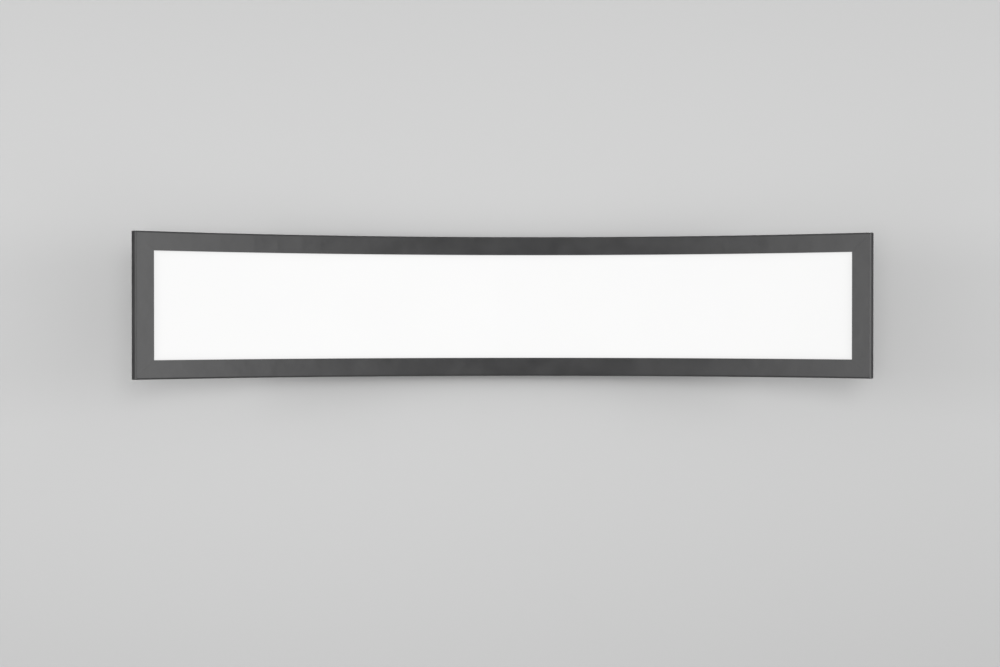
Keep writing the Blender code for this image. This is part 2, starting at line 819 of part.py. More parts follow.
def make_bracket():
    """The steel strip that the ceiling screws hold, with a nut in each turned-down end."""
    end = INNER_X - GAP
    outline = [
        (-end, 0),
        (-end, -TAB_DEPTH),
        (-end + STRIP_THICKNESS, -TAB_DEPTH),
        (-end + STRIP_THICKNESS, -STRIP_THICKNESS),
        (end - STRIP_THICKNESS, -STRIP_THICKNESS),
        (end - STRIP_THICKNESS, -TAB_DEPTH),
        (end, -TAB_DEPTH),
        (end, 0),
    ]
    upright = Matrix.Rotation(math.radians(90), 4, "X")
    half = STRIP_WIDTH / 2
    bracket = prism("mounting_bracket", [outline], -half, half, zinc(), upright)
    flange_x = end - END_BAY
    for side in (-1, 1):
        outer, inner = side * half, side * (half - STRIP_THICKNESS)
        flange = box(
            f"bracket_flange_{side}",
            (-flange_x, min(outer, inner), -BRACKET_DEPTH),
            (flange_x, max(outer, inner), -STRIP_THICKNESS / 2),
        )
        combine(bracket, flange, "UNION")
    low = end - STRIP_THICKNESS - THUMB_NUT_LENGTH
    for side in (-1, 1):
        place = thumb_place(side)
        nut = rod(
            f"thumb_nut_{side}",
            THUMB_NUT_RADIUS,
            low - CANOPY_X,
            end - STRIP_THICKNESS / 2 - CANOPY_X,
            (0, 0),
            None,
            place,
        )
        combine(bracket, nut, "UNION")
        thread = rod(
            f"thumb_thread_{side}",
            THUMB_SHANK_RADIUS + GAP,
            low - CANOPY_X - OVERRUN,
            OVERRUN,
            (0, 0),
            None,
            place,
        )
        combine(bracket, thread)
    for index in (-2, -1, 1, 2):
        place = Matrix.Translation((index * SLOT_PITCH, 0, 0))
        outline = slot_outline(SLOT_LENGTH / 2, SLOT_WIDTH / 2)
        low, high = -STRIP_THICKNESS - OVERRUN, OVERRUN
        combine(bracket, prism(f"bracket_slot_{index}", [outline], low, high, None, place))
    low, high = -STRIP_THICKNESS - OVERRUN, OVERRUN
    centre = (CABLE_HOLE_PLACE, 0)
    hole = rod("cable_hole", CABLE_HOLE_RADIUS, low, high, centre, sides=ROUND_SIDES)
    return [combine(bracket, hole)]


def thumb_place(side):
    """On the outer face of the canopy's end wall, with Z pointing out along the screw."""
    turn = Matrix.Rotation(side * math.radians(90), 4, "Y")
    return Matrix.Translation((side * CANOPY_X, 0, -THUMB_HEIGHT)) @ turn


def make_thumb_screw(name, side):
    steel = paint("nickel plated steel", (0.55, 0.54, 0.52), 0.30, 1.0)
    washer_top = GAP + WASHER_THICKNESS
    washer_profile = [
        (THUMB_SHANK_RADIUS + GAP, washer_top),
        (WASHER_RADIUS, washer_top),
        (WASHER_RADIUS, GAP),
        (THUMB_SHANK_RADIUS + GAP, GAP),
    ]
    washer = turned(f"{name}_washer", washer_profile, zinc(), thumb_place(side), ROUND_SIDES, True)
    low = washer_top + GAP
    top = low + THUMB_HEAD_LENGTH
    tip = CANOPY_WALL + GAP + STRIP_THICKNESS + THUMB_NUT_LENGTH + THUMB_TIP
    profile = [
        (0, top),
        (THUMB_HEAD_RADIUS, top),
        (THUMB_HEAD_RADIUS, low),
        (THUMB_SHANK_RADIUS, low),
        (THUMB_SHANK_RADIUS, -tip),
        (0, -tip),
    ]
    screw = turned(f"{name}_thumb_screw", profile, steel, thumb_place(side))
    return washer, screw


# LED driver


def make_driver():
    """An LED driver in a sheet tray with a lid, on two pads of the canopy's floor."""
    place = seat(DRIVER_S, DRIVER_Y, SEAT_H)
    half_x, half_y = DRIVER_LENGTH / 2, DRIVER_WIDTH / 2
    room_x, room_y = half_x - DRIVER_WALL, half_y - DRIVER_WALL
    tray_top = DRIVER_HEIGHT - DRIVER_WALL - GAP
    white = paint("white painted steel", (0.80, 0.80, 0.79), 0.40)
    tray = box("driver_tray", (-half_x, -half_y, 0), (half_x, half_y, tray_top), white, place)
    ear_x = half_x + EAR_LENGTH
    ears = box(
        "driver_ears", (-ear_x, -EAR_WIDTH / 2, 0), (ear_x, EAR_WIDTH / 2, DRIVER_WALL), None, place
    )
    combine(tray, ears, "UNION")
    room = box(
        "driver_room", (-room_x, -room_y, DRIVER_WALL), (room_x, room_y, DRIVER_HEIGHT), None, place
    )
    combine(tray, room)
    board_low = DRIVER_WALL + POST_HEIGHT + GAP
    board_x, board_y = room_x - BOARD_MARGIN, room_y - BOARD_MARGIN
    for index, (side_x, side_y) in enumerate(((-1, -1), (-1, 1), (1, -1), (1, 1))):
        x, y = side_x * (board_x - POST_SIZE), side_y * (board_y - POST_SIZE)
        post = box(
            f"driver_post_{index}",
            (x - POST_SIZE / 2, y - POST_SIZE / 2, DRIVER_WALL / 2),
            (x + POST_SIZE / 2, y + POST_SIZE / 2, DRIVER_WALL + POST_HEIGHT),
            None,
            place,
        )
        combine(tray, post, "UNION")
    for index, centre in enumerate(driver_pad_places()):
        radius = DRIVER_SHANK_RADIUS + GAP
        low, high = -OVERRUN, DRIVER_WALL + OVERRUN
        combine(tray, rod(f"driver_ear_hole_{index}", radius, low, high, centre, None, place))
    lying = place @ Matrix.Rotation(math.radians(90), 4, "Y")
    for side, radius, offsets in (
        (1, MAINS_RADIUS, mains_offsets()),
        (-1, LEAD_RADIUS, lead_offsets()),
    ):
        for index, offset in enumerate(offsets):
            ends = sorted((side * (room_x - OVERRUN), side * (half_x + OVERRUN)))
            centre = (-wire_height(), offset)
            label = f"driver_wire_hole_{side}_{index}"
            combine(tray, rod(label, radius + GAP, *ends, centre, None, lying))

    lid_low = tray_top + GAP
    cover = box("driver_cover", (-half_x, -half_y, lid_low), (half_x, half_y, DRIVER_HEIGHT), white, place)
    lip_y = room_y - GAP
    for side in (-1, 1):
        ends = sorted((side * lip_y, side * (lip_y - DRIVER_WALL)))
        lip = box(
            f"driver_cover_lip_{side}",
            (-room_x + OVERRUN, ends[0], lid_low - COVER_LIP),
            (room_x - OVERRUN, ends[1], DRIVER_HEIGHT - DRIVER_WALL / 2),
            None,
            place,
        )
        combine(cover, lip, "UNION")

    green = paint("green solder mask", (0.05, 0.25, 0.10), 0.45)
    board = box(
        "driver_board",
        (-board_x, -board_y, board_low),
        (board_x, board_y, board_low + DRIVER_BOARD_THICKNESS),
        green,
        place,
    )
    top = board_low + DRIVER_BOARD_THICKNESS + GAP
    size, (x, y) = TRANSFORMER_SIZE, TRANSFORMER_PLACE
    amber = paint("transformer tape", (0.75, 0.55, 0.08), 0.40)
    transformer = box(
        "driver_transformer",
        (x - size[0] / 2, y - size[1] / 2, top),
        (x + size[0] / 2, y + size[1] / 2, top + size[2]),
        amber,
        place,
    )
    sleeve = paint("capacitor sleeve", (0.03, 0.03, 0.05), 0.35)
    capacitor = rod(
        "driver_capacitor",
        CAPACITOR_RADIUS,
        top,
        top + CAPACITOR_HEIGHT,
        CAPACITOR_PLACE,
        sleeve,
        place,
        ROUND_SIDES,
    )
    screws = []
    for name, centre in zip(("left", "right"), driver_pad_places()):
        fall = centre[0] ** 2 / (2 * (FRONT_RADIUS + FLOOR_TOP))
        standing = place @ Matrix.Translation((*centre, DRIVER_WALL + GAP))
        screws.append(
            pan_screw(
                f"{name}_driver_screw",
                standing,
                DRIVER_HEAD_RADIUS,
                DRIVER_HEAD_HEIGHT,
                DRIVER_SHANK_RADIUS,
                DRIVER_WALL + 2 * GAP + fall,
            )
        )
    return [tray, cover, board, transformer, capacitor, *screws]


# Terminal block


def button_place(index):
    """The button of one pole, pushed along its own -Z from here."""
    top = BLOCK_HEIGHT + BUTTON_RISE
    return seat(BLOCK_S, DRIVER_Y, SEAT_H) @ Matrix.Translation((0, index * POLE_PITCH, top))


def make_terminal_block():
    """A three-pole push-in terminal: live, neutral and earth, with a release button for each."""
    place = seat(BLOCK_S, DRIVER_Y, SEAT_H)
    half_x, half_y = BLOCK_LENGTH / 2, BLOCK_WIDTH / 2
    nylon = paint("white polyamide", (0.82, 0.82, 0.80), 0.45)
    block = box("terminal_block", (-half_x, -half_y, 0), (half_x, half_y, BLOCK_HEIGHT), nylon, place)
    brass = paint("tinned brass", (0.70, 0.66, 0.55), 0.30, 1.0)
    grey = paint("grey polyamide", (0.35, 0.36, 0.37), 0.45)
    well = BUTTON_SIDE / 2 + GAP
    well_low = BLOCK_HEIGHT + BUTTON_RISE - BUTTON_LENGTH - BUTTON_TRAVEL - GAP
    contact_low = ENTRY_HEIGHT - ENTRY_RADIUS - CONTACT_THICKNESS
    contact_x, contact_y = CONTACT_LENGTH / 2, CONTACT_WIDTH / 2
    lying = place @ Matrix.Rotation(math.radians(90), 4, "Y")
    contacts, buttons = [], []
    for index, pole in ((-1, "live"), (0, "neutral"), (1, "earth")):
        y = index * POLE_PITCH
        cut_room = box(
            f"{pole}_well",
            (-well, y - well, well_low),
            (well, y + well, BLOCK_HEIGHT + OVERRUN),
            None,
            place,
        )
        combine(block, cut_room)
        label = f"{pole}_entry"
        centre = (-ENTRY_HEIGHT, y)
        reach = half_x + OVERRUN
        combine(block, rod(label, ENTRY_RADIUS, -reach, reach, centre, None, lying))
        bed = box(
            f"{pole}_contact_bed",
            (-contact_x - GAP, y - contact_y - GAP, contact_low - GAP),
            (contact_x + GAP, y + contact_y + GAP, ENTRY_HEIGHT),
            None,
            place,
        )
        combine(block, bed)
        contacts.append(
            box(
                f"{pole}_contact",
                (-contact_x, y - contact_y, contact_low),
                (contact_x, y + contact_y, contact_low + CONTACT_THICKNESS),
                brass,
                place,
            )
        )
        side = BUTTON_SIDE / 2
        buttons.append(
            box(
                f"{pole}_button",
                (-side, -side, -BUTTON_LENGTH),
                (side, side, 0),
                grey,
                button_place(index),
            )
        )
    return [block, *contacts], buttons


# Wires


def mains_offsets():
    """Live and neutral, from the driver's middle line."""
    return (-POLE_PITCH, 0)


def lead_offsets():
    """Minus and plus leads, from the driver's middle line."""
    return (-LEAD_PITCH / 2, LEAD_PITCH / 2)


def wire_height():
    """Where the driver's leads meet its board, over the driver's base."""
    return DRIVER_WALL + POST_HEIGHT + 2 * GAP + DRIVER_BOARD_THICKNESS + MAINS_RADIUS


def jumper_offset():
    """The jumper's place beside the panel's other wires."""
    return 2 * LEAD_RADIUS + 2 * GAP


def colour(name):
    shades = {
        "brown": (0.22, 0.10, 0.05),
        "blue": (0.05, 0.16, 0.55),
        "green": (0.12, 0.45, 0.12),
        "red": (0.60, 0.04, 0.03),
        "black": (0.02, 0.02, 0.02),
        "white": (0.80, 0.80, 0.78),
    }
    return paint(f"{name} PVC", shades[name], 0.45)


def make_mains_wires():
    """Live and neutral run from the terminal block into the driver, earth to the canopy's stud."""
    block = seat(BLOCK_S, DRIVER_Y, SEAT_H)
    driver = seat(DRIVER_S, DRIVER_Y, SEAT_H)
    stud = seat(BLOCK_S, STUD_Y, SEAT_H)
    radius = MAINS_RADIUS
    block_x, contact_x = -BLOCK_LENGTH / 2, -CONTACT_LENGTH / 4
    driver_x = DRIVER_LENGTH / 2
    inside = driver_x - DRIVER_WALL - 2 * radius
    wires = []
    for name, shade, y in zip(("live_wire", "neutral_wire"), ("brown", "blue"), mains_offsets()):
        start = lead_in(block, block_x, contact_x, y, ENTRY_HEIGHT, radius)
        end = lead_in(driver, driver_x, inside, y, wire_height(), radius)
        wires.append(wire(name, [*start, *reversed(end)], radius, colour(shade)))
    barrel_x = -RING_RADIUS - BARREL_LENGTH
    crimped = barrel_x + BARREL_LENGTH * CRIMP_SHARE
    start = lead_in(block, block_x, contact_x, POLE_PITCH, ENTRY_HEIGHT, radius)
    end = lead_in(stud, barrel_x, crimped, 0, BARREL_HEIGHT / 2, radius)
    turn = Vector((-(end[-1] - start[-1]).length / 2, 0, 0))
    bend = [start[-1].lerp(end[-1], share) + turn * reach for share, reach in EARTH_BEND_SHARES]
    wires.append(wire("earth_wire", [*start, *bend, *reversed(end)], radius, colour("green")))
    return wires


def connector_place():
    """Where plug and socket meet, on the canopy's floor."""
    return seat(-CONNECTOR_PLACE, CONNECTOR_Y, SEAT_H)


def make_driver_leads():
    """Plus and minus leave the driver's far end and turn back to the plug."""
    driver = seat(DRIVER_S, DRIVER_Y, SEAT_H)
    plug = connector_place()
    radius = LEAD_RADIUS
    driver_x = -DRIVER_LENGTH / 2
    inside = driver_x + DRIVER_WALL + 2 * radius
    plug_end = -CONNECTOR_LENGTH
    seated = plug_end + SOCKET_HOLE_DEPTH - GAP
    wires = []
    for name, shade, y in zip(
        ("driver_minus_wire", "driver_plus_wire"), ("black", "red"), lead_offsets()
    ):
        start = lead_in(driver, driver_x, inside, y, wire_height(), radius)
        end = lead_in(plug, plug_end, seated, -y, CONNECTOR_HEIGHT / 2, radius)
        low, high = start[-1], end[-1]
        far = -INNER_X + LEAD_LOOP + y
        middle = (low + high) / 2
        apex = Vector((far, middle.y, middle.z))
        turn = (high.y - low.y) / 2
        bend = [
            Vector((far + turn * (1 - reach), middle.y + turn * side, middle.z + rise * (high.z - low.z)))
            for side, reach, rise in LEAD_BEND_SHARES
        ]
        route = [*start, bend[0], apex, bend[1], *reversed(end)]
        wires.append(wire(name, route, radius, colour(shade)))
    return wires


def make_panel_wires():
    """From the socket through the bushing to the LED strips, which the jumper joins in series."""
    socket = connector_place()
    bushing = seat(BUSHING_S, BUSHING_Y, SEAT_H)
    radius = LEAD_RADIUS
    lying_h = PLATE_H - GAP - radius
    apart = radius + GAP
    board = HALF_WIDTH - LED_U - GAP
    bend_low = BUSHING_FLANGE_HEIGHT + 2 * radius
    seated = CONNECTOR_LENGTH - SOCKET_HOLE_DEPTH + GAP
    wires = []
    for name, shade, side in (("panel_minus_wire", "black", -1), ("panel_plus_wire", "red", 1)):
        y = side * apart
        start = lead_in(
            socket, CONNECTOR_LENGTH, seated, side * LEAD_PITCH / 2, CONNECTOR_HEIGHT / 2, radius
        )
        turn = [
            (BUSHING_BEND * (math.cos(angle) - 1), y, bend_low + BUSHING_BEND * math.sin(angle))
            for angle in (math.radians(90), math.radians(45), 0)
        ]
        turn = [bushing @ Vector(point) for point in turn]
        panel_y = BUSHING_Y + y
        route = [
            *start,
            (start[-1] + turn[0]) / 2,
            *turn,
            rolled(BUSHING_S, panel_y, PANEL_THICKNESS),
            rolled(BUSHING_S, panel_y, lying_h + PANEL_BEND / 2),
            rolled(BUSHING_S, panel_y + side * PANEL_BEND / 2, lying_h),
            rolled(BUSHING_S, panel_y + side * PANEL_BEND * 2, lying_h),
            rolled(BUSHING_S, side * board, lying_h),
        ]
        wires.append(wire(name, route, radius, colour(shade)))
    s = BUSHING_S + jumper_offset()
    route = [rolled(s, y, lying_h) for y in (-board, 0, board)]
    wires.append(wire("strip_jumper_wire", route, radius, colour("white")))
    return wires


# Inline connector


def make_connector():
    """The panel unplugs from the driver here: a nose on the plug sits in the socket."""
    place = connector_place()
    half_y = CONNECTOR_WIDTH / 2
    nose_y = half_y - CONNECTOR_WALL - GAP
    nose_low, nose_high = CONNECTOR_WALL + GAP, CONNECTOR_HEIGHT - CONNECTOR_WALL - GAP
    nylon = paint("natural polyamide", (0.75, 0.73, 0.66), 0.40)
    face = GAP / 2
    plug = box(
        "connector_plug",
        (-CONNECTOR_LENGTH, -half_y, 0),
        (-face, half_y, CONNECTOR_HEIGHT),
        nylon,
        place,
    )
    nose = box(
        "plug_nose",
        (-face - CONNECTOR_WALL, -nose_y, nose_low),
        (NOSE_LENGTH, nose_y, nose_high),
        None,
        place,
    )
    combine(plug, nose, "UNION")
    socket = box(
        "connector_socket",
        (face, -half_y, 0),
        (CONNECTOR_LENGTH, half_y, CONNECTOR_HEIGHT),
        nylon,
        place,
    )
    mouth = box(
        "socket_mouth",
        (-OVERRUN, -nose_y - GAP, nose_low - GAP),
        (NOSE_LENGTH + GAP, nose_y + GAP, nose_high + GAP),
        None,
        place,
    )
    combine(socket, mouth)
    lying = place @ Matrix.Rotation(math.radians(90), 4, "Y")
    deep = CONNECTOR_LENGTH - SOCKET_HOLE_DEPTH
    for index, offset in enumerate(lead_offsets()):
        for piece, ends in (
            (plug, (-CONNECTOR_LENGTH - OVERRUN, -deep)),
            (socket, (deep, CONNECTOR_LENGTH + OVERRUN)),
        ):
            centre = (-CONNECTOR_HEIGHT / 2, offset)
            label = f"{piece.name}_hole_{index}"
            combine(piece, rod(label, LEAD_RADIUS + GAP, *ends, centre, None, lying))
    return [plug, socket]


# Earth stud's fittings


def make_earth_fittings():
    """A ring terminal on the canopy's welded stud, under a nut."""
    place = seat(BLOCK_S, STUD_Y, SEAT_H)
    copper = paint("tinned copper", (0.62, 0.60, 0.58), 0.35, 1.0)
    ring = rod(
        "ring_terminal", RING_RADIUS, 0, RING_THICKNESS, (0, 0), copper, place, ROUND_SIDES
    )
    barrel_start = -RING_RADIUS - BARREL_LENGTH
    half_y = BARREL_WIDTH / 2
    tongue = box(
        "ring_tongue",
        (barrel_start, -half_y, 0),
        (-RING_RADIUS * TONGUE_REACH_SHARE, half_y, RING_THICKNESS),
        None,
        place,
    )
    barrel = box(
        "ring_barrel",
        (barrel_start, -half_y, 0),
        (-EARTH_NUT_RADIUS - 2 * GAP, half_y, BARREL_HEIGHT),
        None,
        place,
    )
    combine(ring, tongue, "UNION")
    combine(ring, barrel, "UNION")
    bore = rod("ring_bore", STUD_RADIUS + GAP, -OVERRUN, RING_THICKNESS + OVERRUN, (0, 0), None, place)
    combine(ring, bore)
    lying = place @ Matrix.Rotation(math.radians(90), 4, "Y")
    ends = (barrel_start - OVERRUN, barrel_start + BARREL_LENGTH * CRIMP_SHARE + GAP)
    centre = (-BARREL_HEIGHT / 2, 0)
    combine(ring, rod("barrel_bore", MAINS_RADIUS + GAP, *ends, centre, None, lying))
    low = RING_THICKNESS + GAP
    nut = rod(
        "earth_nut", EARTH_NUT_RADIUS, low, low + EARTH_NUT_HEIGHT, (0, 0), zinc(), place, 6
    )
    combine(
        nut,
        rod("earth_nut_bore", STUD_RADIUS + GAP, 0, low + EARTH_NUT_HEIGHT + OVERRUN, (0, 0), None, place),
    )
    return [ring, nut]


def main():
    for obj in list(bpy.data.objects):
        bpy.data.objects.remove(obj, do_unlink=True)
    for collection in (parts, tools):
        bpy.context.scene.collection.children.link(collection)

    make_bracket()
    block, buttons = make_terminal_block()
    luminaire = [
        *make_frame(),
        *make_corner_keys(),
        *make_sheets(),
        make_led_strip("front_led_strip", -1),
        make_led_strip("rear_led_strip", 1),
        make_back_plate(),
        *make_plate_screws(),
        *make_canopy(),
        *make_canopy_screws(),
        *make_bushing(),
        *make_driver(),
        *block,
        *make_mains_wires(),
        *make_driver_leads(),
        *make_panel_wires(),
        *make_connector(),
        *make_earth_fittings(),
        *buttons,
    ]
    parent_all(empty("luminaire", Matrix()), luminaire)
    for name, side in (("left", -1), ("right", 1)):
        washer, screw = make_thumb_screw(name, side)
        parent_all(empty(f"{name}_thumb_joint", thumb_place(side)), [washer, screw])


main()
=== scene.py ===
"""A bowed LED panel light on a ceiling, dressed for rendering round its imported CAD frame.

All lengths are in metres, +Z is up and the origin is on the ceiling, at the middle
of the mounting bracket. X runs along the light and its lit face looks down.
"""

import functools
import math

import bmesh
import bpy
from mathutils import Matrix, Vector


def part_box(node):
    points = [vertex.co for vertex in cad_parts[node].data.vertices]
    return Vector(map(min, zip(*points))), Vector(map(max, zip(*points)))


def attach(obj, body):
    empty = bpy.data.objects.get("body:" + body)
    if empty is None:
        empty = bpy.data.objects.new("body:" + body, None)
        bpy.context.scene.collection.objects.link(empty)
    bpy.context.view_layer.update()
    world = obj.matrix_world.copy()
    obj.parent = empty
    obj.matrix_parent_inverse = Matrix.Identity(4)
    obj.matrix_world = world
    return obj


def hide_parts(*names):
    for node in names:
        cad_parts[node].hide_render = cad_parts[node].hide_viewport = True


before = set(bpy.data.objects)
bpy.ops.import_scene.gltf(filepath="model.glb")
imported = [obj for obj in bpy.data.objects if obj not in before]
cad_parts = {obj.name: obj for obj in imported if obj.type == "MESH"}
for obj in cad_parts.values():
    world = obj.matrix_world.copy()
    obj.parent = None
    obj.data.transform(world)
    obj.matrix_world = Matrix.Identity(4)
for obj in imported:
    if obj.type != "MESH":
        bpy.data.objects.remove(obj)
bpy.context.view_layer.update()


# Camera
# It stands 1.8 m under the light, a little to the left of its middle, and looks
# straight up. The picture is 1000 pixels wide and 667 high.

CAMERA_PLACE = Vector((-0.0780, 0.0189, -1.7654))
CAMERA_YAW = math.radians(2.493)
CAMERA_PITCH = math.radians(0.406)
CAMERA_LENS = 53.91  # mm
CAMERA_SENSOR = 36  # mm
CLIP_START = 0.01
CLIP_END = 100

camera_data = bpy.data.cameras.new("camera")
camera_data.lens = CAMERA_LENS
camera_data.sensor_width = CAMERA_SENSOR
camera_data.clip_start = CLIP_START
camera_data.clip_end = CLIP_END
camera = bpy.data.objects.new("camera", camera_data)
bpy.context.scene.collection.objects.link(camera)
bpy.context.scene.camera = camera

camera_right = Vector((math.cos(CAMERA_YAW), 0, -math.sin(CAMERA_YAW)))
camera_level = Vector((math.sin(CAMERA_YAW), 0, math.cos(CAMERA_YAW)))
camera_forward = camera_level * math.cos(CAMERA_PITCH) + Vector((0, math.sin(CAMERA_PITCH), 0))
camera_up = camera_right.cross(camera_forward)
camera_turn = Matrix((camera_right, camera_up, -camera_forward)).transposed()
camera.matrix_world = Matrix.Translation(CAMERA_PLACE) @ camera_turn.to_4x4()


# Frame rails
# Four lengths of extruded aluminium, rolled to the arc, mitred at the corners and
# powder coated black. A lip holds the diffuser, a chamber takes the corner keys and
# a shelf carries the back plate.

FRONT_RADIUS = 0.796
HALF_ANGLE = math.radians(30)
HALF_LENGTH = FRONT_RADIUS * HALF_ANGLE
PANEL_THICKNESS = 0.0120
BORDER = 0.0208
LIP = 0.0016
RAIL_WALL = 0.0016
CHAMBER_END = 0.0076
WEB_U = 0.0090
SHELF_BOTTOM = 0.0095
SHELF_TOP = 0.0107
GAP = 0.0003
MITRE_SEAM = 0.00004
SMOOTH_ANGLE = math.radians(35)
ARC_STEP = 0.0065
MERGED = 0.000001
HALF_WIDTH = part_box("rear_long_rail")[1].y
AXIS_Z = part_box("rear_long_rail")[1].z - FRONT_RADIUS - PANEL_THICKNESS
NOISE_MIDDLE = (0.35, 0.65)
GRAIN_HEIGHT = 0.00002
SOCKET_KINDS = {float: "Float", int: "Int", tuple: "Color"}


def feed(node, values):
    """Set a node's sockets, by name or number, to values or to other nodes' outputs."""
    for socket, value in dict(values).items():
        if isinstance(value, bpy.types.NodeSocket):
            node.id_data.links.new(value, node.inputs[socket])
        else:
            node.inputs[socket].default_value = value
    return node


def add_node(tree, kind, values=(), **settings):
    """A node with its settings and with what its sockets are fed."""
    node = tree.nodes.new(kind)
    for name, value in settings.items():
        setattr(node, name, value)
    return feed(node, values)


def math_node(tree, operation, *values):
    """The result of a Math node."""
    return add_node(tree, "ShaderNodeMath", enumerate(values), operation=operation).outputs[0]


def ranged(tree, value, source=(0.0, 1.0), target=(0.0, 1.0)):
    """A value whose source range is stretched to a target range and clamped."""
    ends = zip(("From Min", "From Max", "To Min", "To Max"), (*source, *target))
    return add_node(tree, "ShaderNodeMapRange", {"Value": value, **dict(ends)}).outputs["Result"]


def mixed(tree, factor, first, second):
    """Two colours mixed by a factor."""
    values = {"Factor": factor, 6: first, 7: second}
    return add_node(tree, "ShaderNodeMix", values, data_type="RGBA").outputs[2]


def noise(tree, place, scale, detail, roughness=0.5):
    """A noise over a place."""
    values = {"Vector": place, "Scale": scale, "Detail": detail, "Roughness": roughness}
    return add_node(tree, "ShaderNodeTexNoise", values).outputs["Fac"]


def object_place(tree):
    """A surface point's place on its object."""
    return add_node(tree, "ShaderNodeTexCoord").outputs["Object"]


def new_tree(name, kind, inputs, outputs):
    """A node group and its inputs, each of which has a first value or names its kind."""
    tree = bpy.data.node_groups.new(name, kind)
    for label, value in inputs.items():
        socket_kind = SOCKET_KINDS.get(type(value), value)
        socket = tree.interface.new_socket(label, in_out="INPUT", socket_type="NodeSocket" + socket_kind)
        if socket_kind is not value:
            socket.default_value = value
    for label, socket_kind in outputs.items():
        tree.interface.new_socket(label, in_out="OUTPUT", socket_type="NodeSocket" + socket_kind)
    return tree, add_node(tree, "NodeGroupInput").outputs


def make_skin(name, stretch, fine_detail, relief_share):
    """A group for a surface's fine skin: a drifting colour and roughness, and a grain."""
    inputs = {
        "Dark colour": (0.0, 0.0, 0.0, 1.0),
        "Light colour": (1.0, 1.0, 1.0, 1.0),
        "Least roughness": 0.3,
        "Most roughness": 0.5,
        "Grain": 1500.0,
        "Drift": 9.0,
        "Wave": 0.0,
    }
    outputs = {"Colour": "Color", "Roughness": "Float", "Height": "Float"}
    tree, start = new_tree(name, "ShaderNodeTree", inputs, outputs)
    calc = functools.partial(math_node, tree)
    place = object_place(tree)
    mapping = add_node(tree, "ShaderNodeMapping", {"Vector": place, "Scale": stretch})
    grain = noise(tree, mapping.outputs["Vector"], start["Grain"], fine_detail, 0.6)
    drift = noise(tree, place, start["Drift"], 2.0)
    fleck = calc("MULTIPLY", grain, relief_share)
    share = calc("ADD", fleck, calc("MULTIPLY", drift, 1 - relief_share))
    clouds = ranged(tree, share, NOISE_MIDDLE)
    roughness = ranged(tree, clouds, (0.0, 1.0), (start["Least roughness"], start["Most roughness"]))
    results = {
        "Colour": mixed(tree, clouds, start["Dark colour"], start["Light colour"]),
        "Roughness": roughness,
        "Height": calc("MULTIPLY_ADD", drift, start["Wave"], grain),
    }
    add_node(tree, "NodeGroupOutput", results)
    return tree


def new_material(name, values=()):
    """A material and its main shader, with values for the shader's sockets."""
    material = bpy.data.materials.new(name)
    material.use_nodes = True
    return material, feed(material.node_tree.nodes["Principled BSDF"], values)


def finish(name, dark, light, roughness, grain=1500.0, bump=0.1, *, skin, drift=9.0, wave=0.0, values=()):
    """A material whose colour, roughness and relief come from a skin group."""
    made, shader = new_material(name, values)
    sockets = {
        "Dark colour": (*dark, 1),
        "Light colour": (*light, 1),
        "Least roughness": roughness[0],
        "Most roughness": roughness[1],
        "Grain": grain,
        "Drift": drift,
        "Wave": wave,
    }
    group = add_node(made.node_tree, "ShaderNodeGroup", sockets, node_tree=skin).outputs
    relief = {"Strength": bump, "Distance": GRAIN_HEIGHT, "Height": group["Height"]}
    normal = add_node(made.node_tree, "ShaderNodeBump", relief).outputs["Normal"]
    feed(shader, {"Base Color": group["Colour"], "Roughness": group["Roughness"], "Normal": normal})
    return made


powder_skin = make_skin("Powder skin", (1, 1, 1), 3.0, 0.4)
coated = functools.partial(finish, bump=0.35, skin=powder_skin, values={"Specular IOR Level": 1.0})
coat_greys = (0.0025, 0.0025, 0.0030), (0.0125, 0.0125, 0.0130)
coat = coated("black powder coat", *coat_greys, (0.37, 0.47), drift=45, wave=110)


def new_object(name, data):
    """A mesh, curve or lamp as an object of the scene, at the origin."""
    obj = bpy.data.objects.new(name, data)
    bpy.context.scene.collection.objects.link(obj)
    return obj


def evaluated(obj):
    """What an object's modifiers make of it, as a mesh of its own."""
    bpy.context.view_layer.update()
    graph = bpy.context.evaluated_depsgraph_get()
    return bpy.data.meshes.new_from_object(
        obj.evaluated_get(graph), preserve_all_data_layers=True, depsgraph=graph
    )


def modified(obj, kind, inputs=(), **settings):
    """Run one modifier on an object and keep the result as its mesh."""
    modifier = obj.modifiers.new(kind, kind)
    for name, value in settings.items():
        setattr(modifier, name, value)
    for identifier, value in inputs:
        modifier[identifier] = value
    mesh = evaluated(obj)
    obj.modifiers.clear()
    obj.data = mesh
    return obj


def smoothed(obj):
    """Shade smooth over soft edges, with the broad faces kept flat."""
    obj.data.shade_smooth()
    obj.data.set_sharp_from_angle(angle=SMOOTH_ANGLE)
    return modified(obj, "WEIGHTED_NORMAL", keep_sharp=True)


def changed(obj, change):
    """Run one bmesh step on an object's mesh and turn its faces outwards."""
    bm = bmesh.new()
    bm.from_mesh(obj.data)
    change(bm)
    bmesh.ops.recalc_face_normals(bm, faces=bm.faces[:])
    bm.to_mesh(obj.data)
    bm.free()
    return obj


def filleted(corners, steps=3):
    """An outline of (x, y, radius) corners, each rounded; where the radius is 0 it stays."""
    points = [Vector(corner[:2]) for corner in corners]
    outline = []
    for index, (corner, (_, _, radius)) in enumerate(zip(points, corners)):
        if radius == 0:
            outline.append(corner)
            continue
        back = (points[index - 1] - corner).normalized()
        ahead = (points[(index + 1) % len(points)] - corner).normalized()
        half = back.angle(ahead) / 2
        centre = corner + (back + ahead).normalized() * radius / math.sin(half)
        start = corner + back * radius / math.tan(half) - centre
        end = corner + ahead * radius / math.tan(half) - centre
        for step in range(steps + 1):
            outline.append(centre + start.slerp(end, step / steps).normalized() * radius)
    return outline


def moved(x=0, y=0, z=0):
    """A shift."""
    return Matrix.Translation((x, y, z))


